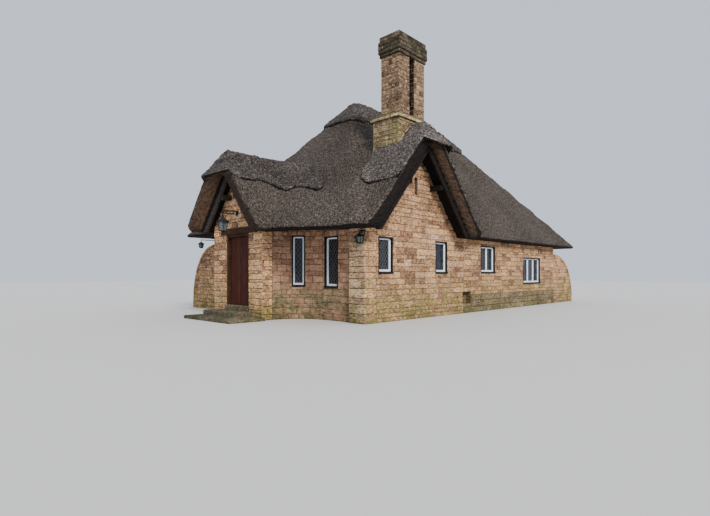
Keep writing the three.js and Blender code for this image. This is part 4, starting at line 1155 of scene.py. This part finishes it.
# %% A helper that gathers bevelled bars and turned forms
class Bars(Gathered):
    def __init__(self, seed, place=lambda u, d, z: (u, d, z)):
        super().__init__(seed)
        self.place = place

    def bar(self, low, high, bevel=0.004):
        """Adds a box between two corners, with every edge cut off at 45 degrees."""
        spans = [(min(a, b), max(a, b)) for a, b in zip(low, high)]
        bevel = min([bevel] + [0.3 * (b - a) for a, b in spans])
        first, faces, weight = len(self.points), [], (12, 6, 3)
        for *sides, axis in product((0, 1), (0, 1), (0, 1), range(3)):
            cuts = [0.0 if k == axis else (bevel, -bevel)[side] for k, side in enumerate(sides)]
            self.points.append(self.place(*[span[side] + cut for span, side, cut in zip(spans, sides, cuts)]))
        for axis in range(3):
            j, k = [n for n in range(3) if n != axis]

            def at(side, a, b, n):
                return first + side * weight[axis] + a * weight[j] + b * weight[k] + n

            for side in (0, 1):
                faces.append([at(side, a, b, axis) for a, b in ((0, 0), (1, 0), (1, 1), (0, 1))])
            for a, b in product((0, 1), repeat=2):
                faces.append([at(0, a, b, j), at(0, a, b, k), at(1, a, b, k), at(1, a, b, j)])
        faces += [[first + 3 * corner + n for n in range(3)] for corner in range(8)]
        self.add(faces, first)

    def add(self, faces, first, round_form=False):
        """Turns each new face away from the middle of its bar, or from the axis of a round form."""
        middle, tint = np.mean(self.points[first:], 0), self.rng.random()
        for face in faces:
            p = np.array([self.points[i] for i in face])
            away = p.mean(0) - middle
            if round_form and math.hypot(away[0], away[1]) > 1e-6:
                away[2] = 0.0
            inwards = np.dot(np.cross(p[1] - p[0], p[2] - p[0]), away) < 0
            self.faces.append(tuple(face[::-1] if inwards else face))
            self.tints.append(tint)

    def turned(self, centre, profile, sides):
        """Adds a form turned about a vertical line, from pairs of radius and height."""
        first, last = len(self.points), (len(profile) - 1) * sides
        for (r, z), i in product(profile, range(sides)):
            c, s = math.cos(2 * math.pi * i / sides), math.sin(2 * math.pi * i / sides)
            self.points.append(self.place(centre[0] + r * c, centre[1] + r * s, z))
        faces = []
        for j, i in product(range(first, first + last, sides), range(sides)):
            k = (i + 1) % sides
            faces.append([j + i, j + k, j + sides + k, j + sides + i])
        faces += [[first + low + i for i in range(sides)] for low in (0, last)]
        self.add(faces, first, True)

    def rod(self, a, b, thick, wide=None):
        """Adds a straight bar from one point to another, square in section."""
        a, b = Vector(a), Vector(b)
        along = (b - a).normalized()
        side = along.cross(Vector((0, 1, 0)))
        side = (side if side.length > 0.1 else along.cross(Vector((0, 0, 1)))).normalized()
        other = along.cross(side).normalized()
        k, wide = len(self.points), wide or thick
        for end in (a, b):
            for s, t in ((-1, -1), (1, -1), (1, 1), (-1, 1)):
                self.points.append(self.place(*(end + side * s * wide / 2 + other * t * thick / 2)))
        self.add([[k, k + 1, k + 2, k + 3], [k + 4, k + 5, k + 6, k + 7]]
                 + [[k + i, k + (i + 1) % 4, k + 4 + (i + 1) % 4, k + 4 + i] for i in range(4)], k)

    def chain(self, line, thick):
        for a, b in zip(line, line[1:]):
            self.rod(a, b, thick)


cube = Bars(0)
cube.bar((0, 0, 0), (1, 1, 1))
print("a bevelled box has", len(cube.faces), "faces")

# %% [markdown]
# ## Windows
# Each window has a black outer frame with a black sill, and white casements set in it. Three of
# them have diamond leads. A window is drawn as if it faced the viewer, with `u` across, `d` going
# in from the wall's face and `z` up, and a small function puts it on its wall.

# %% How a window is made
SILL, RING, RING_FRONT, RING_BACK = 0.045, 0.030, -0.010, 0.098
STILE, HEAD, RAIL, POST, NEAR, FAR, BEAD = 0.034, 0.034, 0.056, 0.046, 0.050, 0.088, 0.008
DIAMOND_WIDE, DIAMOND_HIGH, CAME = 0.105, 0.155, 0.007


def diamonds(bars, u0, u1, z0, z1, depth):
    rise = DIAMOND_HIGH / DIAMOND_WIDE * (u1 - u0)
    for way in (1, -1):
        za = z0 - rise - DIAMOND_HIGH
        while za < z1 + DIAMOND_HIGH * 2 + rise:
            cuts = sorted((limit - za) / (way * rise) for limit in (z0, z1))
            low, high = max(0.0, cuts[0]), min(1.0, cuts[1])
            if high - low > 0.02:
                bars.rod((u0 + (u1 - u0) * low, depth, za + way * rise * low),
                         (u0 + (u1 - u0) * high, depth, za + way * rise * high), 0.004, CAME)
            za += DIAMOND_HIGH


def window(opening, place, leaded=False):
    name, start, end, z0, z1, lights = opening
    half, high = (end - start) / 2 - 0.0005, z1 - z0

    def on_wall(u, d, z):
        return place((start + end) / 2, u, d, z + z0)

    outer = Bars(7, on_wall)
    head = high - RING - 0.004
    outer.bar((-half, RING_FRONT, SILL), (RING - half, RING_BACK, high - 0.001))
    outer.bar((half - RING, RING_FRONT, SILL), (half, RING_BACK, high - 0.001))
    outer.bar((-half, RING_FRONT, head), (half, RING_BACK, high - 0.001))
    outer.bar((-half, -0.045, 0.001), (half, RING_BACK, SILL), 0.008)
    outer.piece(name + "_surround", black_paint, "window_frames", replaces=[name + "_frame"])

    inner = Bars(8, on_wall)
    a, b, low, top = RING - half, half - RING, SILL + RAIL, head - HEAD
    inner.bar((a, NEAR, SILL), (a + STILE, FAR, head))
    inner.bar((b - STILE, NEAR, SILL), (b, FAR, head))
    inner.bar((a, NEAR, top), (b, FAR, head))
    inner.bar((a, NEAR - 0.008, SILL), (b, FAR, low), 0.008)
    clear = (b - a - 2 * STILE - (lights - 1) * POST) / lights
    panes = [a + STILE + i * (clear + POST) for i in range(lights)]
    for u in panes[1:]:
        inner.bar((u - POST, NEAR, SILL), (u, FAR, head))
        inner.bar((u - POST / 2 - 0.003, NEAR - 0.003, low), (u - POST / 2 + 0.003, NEAR, top), 0.001)
    for u in panes:
        for bead in (u, u + clear - BEAD):
            inner.bar((bead, 0.062, low), (bead + BEAD, 0.09, top), 0.002)
    inner.piece(name + "_casement", white_paint, "window_frames")
    if leaded:
        leads = Bars(9, on_wall)
        diamonds(leads, a + STILE, b - STILE, low, top, 0.095)
        leads.piece(name + "_leads", lead, "glazing")


print("casement bars, in metres:", STILE, HEAD, RAIL, POST)


# %% Make the windows
def on_curve(_, u, d, z):
    c = math.cos(math.radians(45))
    return (CURVE_CENTRE[0] + (CURVE + d) * c + u * c, CURVE_CENTRE[1] + (CURVE + d) * c - u * c, z)


for opening in FRONT_WINDOWS:
    window(opening, lambda middle, u, d, z: (middle + u, d, z), opening[0] == "window_3")
window(LEFT_WINDOW, lambda middle, u, d, z: (d, middle - u, z), True)
window(BACK_WINDOW, lambda middle, u, d, z: (middle - u, DEPTH - d, z))
window(("window_1", 0.0, *CURVE_WINDOW, 1), on_curve, True)

# %% [markdown]
# ## The door
# The only part that moves. It is a ledged door of six planks, with two rows of studs outside and
# a latch plate and a lever on both faces. Its pieces ride on the body `door`, so they swing about
# the hinge with it, and the barrels stand where the solid ones do.

# %% Door boards, ledges, latch and studs
(FACE_OUT, FACE_IN), (HINGE_SIDE, LATCH_SIDE), (FOOT, TOP) = (-1.195, -1.150), (4.214, 3.286), (0.356, 2.264)
PLANKS, LEDGE, BARREL, BARREL_FEET = 6, 0.014, (-1.145, 4.2167), (0.7603, 1.9603)
boards, wide = Bars(51), (HINGE_SIDE - LATCH_SIDE) / PLANKS
for y in (LATCH_SIDE + i * wide for i in range(PLANKS)):
    boards.bar((FACE_OUT, y + 0.0006, FOOT), (FACE_IN - 0.012, y + wide - 0.0006, TOP), 0.006)
for z in (0.62, 1.38, 2.02):
    boards.bar((FACE_IN - LEDGE, LATCH_SIDE + 0.02, z - 0.07), (FACE_IN, HINGE_SIDE - 0.02, z + 0.07), 0.005)
boards.piece("door_planks", door_boards, "door", body="door", replaces=["door_leaf"])

latch = Bars(52)
y, z = LATCH_SIDE + 0.075, 1.33
for face, way in ((FACE_OUT, -1), (FACE_IN, 1)):
    plate, knuckle, lever = face + way * 0.008, face + way * 0.037, face + way * 0.055
    latch.bar((face, y - 0.0225, z - 0.085), (plate, y + 0.0225, z + 0.085), 0.003)
    latch.bar((face, y - 0.009, z), (lever, y + 0.009, z + 0.018))
    latch.bar((knuckle, y - 0.009, z), (lever, y + 0.12, z + 0.018), 0.005)
    for screw in (z - 0.07, z + 0.07):
        latch.turned((face + way * 0.009, y), [(0.004, screw - 0.004), (0.004, screw + 0.004)], 6)
for z in BARREL_FEET:
    latch.turned(BARREL, [(0.006, z), (0.009, z + 0.003), (0.009, z + 0.087), (0.006, z + 0.090)], 12)
for z in (0.66, 2.06):
    for y in np.linspace(LATCH_SIDE + 0.08, HINGE_SIDE - 0.08, 6):
        stud = [(0.002, z - 0.009), (0.008, z - 0.005), (0.008, z + 0.005), (0.002, z + 0.009)]
        latch.turned((FACE_OUT - 0.001, float(y)), stud, 8)
latch.piece("door_ironwork", iron, "ironwork", body="door")

# %% [markdown]
# ## Steps
# The steps up to the door are old flags. Their edges are rubbed round and their tops dip a little
# where feet have gone, so each is a grid of points that is lowered along its middle.

# %% Worn steps and sill
RUBBED_EDGE, FLAG_GAP, TRODDEN = 0.014, 0.0015, 0.35


def edged(low, high, count):
    a, b = low + RUBBED_EDGE, high - RUBBED_EDGE
    return [low, a] + list(np.linspace(a, b, count)[1:-1]) + [b, high]


def worn_slab(name, x0, x1, y0, y1, top, node, dip=0.010, flags=1):
    slab, span = Stones(60 + len(node)), (y1 - y0) / flags
    for n in range(flags):
        xs = edged(x0, x1, 8)
        ys = edged(y0 + n * span + FLAG_GAP, y0 + (n + 1) * span - FLAG_GAP, max(6, int(span / 0.09)))
        first, wide, last = len(slab.points), len(ys), len(xs) - 1
        for (i, x), (j, y) in product(enumerate(xs), enumerate(ys)):
            rim = i in (0, last) or j in (0, wide - 1)
            middle = math.exp(-((y - (y0 + y1) / 2) / TRODDEN) ** 2) * (0.5 if x < (x0 + x1) / 2 else 1.0)
            lowered = (RUBBED_EDGE * 0.8 if rim else 0.0) + dip * middle
            slab.points.append((x, y, top - lowered + 0.002 * noise.noise(Vector((x, y, n)) * 9)))
        for i, j in product(range(last), range(wide - 1)):
            k = first + i * wide + j
            slab.faces.append((k, k + wide, k + wide + 1, k + 1))
        ring = ([(i, 0) for i in range(last)] + [(last, j) for j in range(wide - 1)]
                + [(i, wide - 1) for i in range(last, 0, -1)] + [(0, j) for j in range(wide - 1, 0, -1)])
        low, count = len(slab.points), len(ring)
        slab.points += [(xs[i], ys[j], 0.0) for i, j in ring]
        above = [first + i * wide + j for i, j in ring]
        for m in range(count):
            after = (m + 1) % count
            slab.faces.append((above[m], low + m, low + after, above[after]))
        slab.faces.append(tuple(range(low + count - 1, low - 1, -1)))
        slab.tints += [slab.rng.random()] * (len(slab.faces) - len(slab.tints))
    slab.piece(name, flagstone, "paving_stone", replaces=[node])


worn_slab("lower_flag", -2.35, -1.2813, 2.45, 4.75, 0.09, "lower_step", flags=4)
worn_slab("upper_flag", -1.85, -1.2813, 3.0, 4.6, 0.22, "upper_step", flags=2)
worn_slab("sill_flag", -1.34, -0.95, 3.2003, 4.2997, 0.35, "door_sill", dip=0.004)

# %% [markdown]
# ## Frames, boards and mortar
# The lintel, the door frame and the boards under the verges are right as solids, so they stay and
# only take a better finish. So do the solid walls, which now show as mortar between the stones, the
# glass and the floors inside. Where the gable's cap meets the front of the chimney, a fillet of
# lichened mortar keeps the rain out. It follows the cap's curve in short straight bars.

# %% Finishes for the solids that stay
KEEP = {
    "door_lintel": brown_oak, "door_frame": brown_oak,
    "gable_board_right": black_oak, "gable_board_left": black_oak,
    "porch_board_right": dark_oak, "porch_board_left": dark_oak,
    "floor": flagstone, "porch_floor": flagstone,
    "chimney_base": chimney_stone, "chimney_shaft": mortar, "chimney_cap": cap_stone,
}
for name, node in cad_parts.items():
    is_wall = "wall" in name or name == "corner_pier"
    finish = KEEP.get(name, glass if name.endswith("_glass") else mortar if is_wall else None)
    if finish is not None:
        node.material_slots[0].material = finish
print("solids with a finish by name:", len(KEEP))

# %% A fillet of mortar where the gable's cap meets the chimney
fillet = Bars(61)
fillet.chain([(x, STACK[2] - 0.008, one(cap_top, x, STACK[2]) + 0.010)
              for x in np.linspace(STACK[0] + 0.02, STACK[1] - 0.03, 15)], 0.028)
fillet.piece("chimney_fillet", ledge_stone, "chimney_stone")

# %% [markdown]
# ## Lanterns
# Three iron lanterns hang from wall brackets. A bracket is a plate with two arms and slanting bars
# between them, or with one arm and a curved brace. A lantern has a hooded roof with a finial, six
# tapering bars with panes between them, and a pointed foot. Bars and turned forms make them all.

# %% Hang the lanterns
ARM_GAP = 0.07


def lantern(name, x, y, z, reach, body, high, arms):
    def on_wall(u, d, h):
        return (x - 0.0003 + u, y + d, z + h)

    metal, panes = Bars(71, on_wall), Bars(72, on_wall)
    metal.bar((-0.022, -0.06, -0.11), (0.0, 0.06, 0.028))
    for n in range(arms):
        metal.bar((-reach - 0.014, -0.012, -0.012 - ARM_GAP * n), (-0.01, 0.012, 0.012 - ARM_GAP * n), 0.003)
    if arms == 2:
        for at in (0.25, 0.5, 0.75):
            metal.rod((-reach * at - 0.03, 0, -0.065), (-reach * at + 0.03, 0, -0.005), 0.014)
    else:
        metal.chain([(-0.012, 0, -0.065), (-0.05, 0, -0.06), (-0.08, 0, -0.04), (-0.10, 0, -0.008)], 0.009)
    at, top = (-reach, 0.0), -ARM_GAP * (arms - 1)
    metal.turned(at, [(0.006, top - 0.03 - high * 0.06), (0.006, top)], 8)
    hang = top - 0.015
    hood, brim, base, tip = (hang - high * f for f in (0.24, 0.44, 0.92, 1.0))
    metal.turned(at, [(body * 1.3, brim - 0.006), (body * 1.3, brim + 0.008),
                      (body * 0.85, brim + 0.4 * (hood - brim)), (body * 0.35, hood),
                      (body * 0.18, hood + 0.004), (body * 0.18, hood + 0.35 * (hang - hood)),
                      (body * 0.08, hang)], 6)
    metal.turned(at, [(0.012, tip), (body * 0.45, base - 0.01), (body * 0.74, base),
                      (body * 0.74, base + 0.012), (body * 0.7, base + 0.012)], 6)
    panes.turned(at, [(body * 0.66, base + 0.010), (body * 0.93, brim - 0.002)], 6)
    for i in range(6):
        c, s = math.cos(math.pi * i / 3), math.sin(math.pi * i / 3)
        metal.rod((at[0] + body * 0.72 * c, body * 0.72 * s, base), (at[0] + body * c, body * s, brim), 0.012)
    metal.piece(name + "_metal", iron, "ironwork", replaces=[name])
    panes.piece(name + "_panes", lantern_glass, "ironwork")


lantern("porch_lantern", PORCH_X, 3.74, 2.96, 0.46, 0.15, 0.52, 2)
lantern("left_lantern", 0.0, 6.88, 2.36, 0.66, 0.095, 0.27, 1)
lantern("right_lantern", PIER_FACE, 0.05, 2.29, 0.15, 0.105, 0.32, 1)

# %% [markdown]
# ## The floor
# The floor is a stage, not part of the house.

# %% Floor and its finish
floor_mesh, half = bpy.data.meshes.new("stage_floor"), 70
floor_mesh.from_pydata([(-half, -half, -0.002), (half, -half, -0.002), (half, half, -0.002),
                        (-half, half, -0.002)], [], [(0, 1, 2, 3)])
stage_floor = add_object("stage_floor", floor_mesh)
stage_paint, tree, place = start_finish("pale floor")
shader = tree.nodes["Principled BSDF"].inputs
shader["Base Color"].default_value = (0.62, 0.61, 0.59, 1.0)
shader["Roughness"].default_value = 0.9
floor_mesh.materials.append(stage_paint)
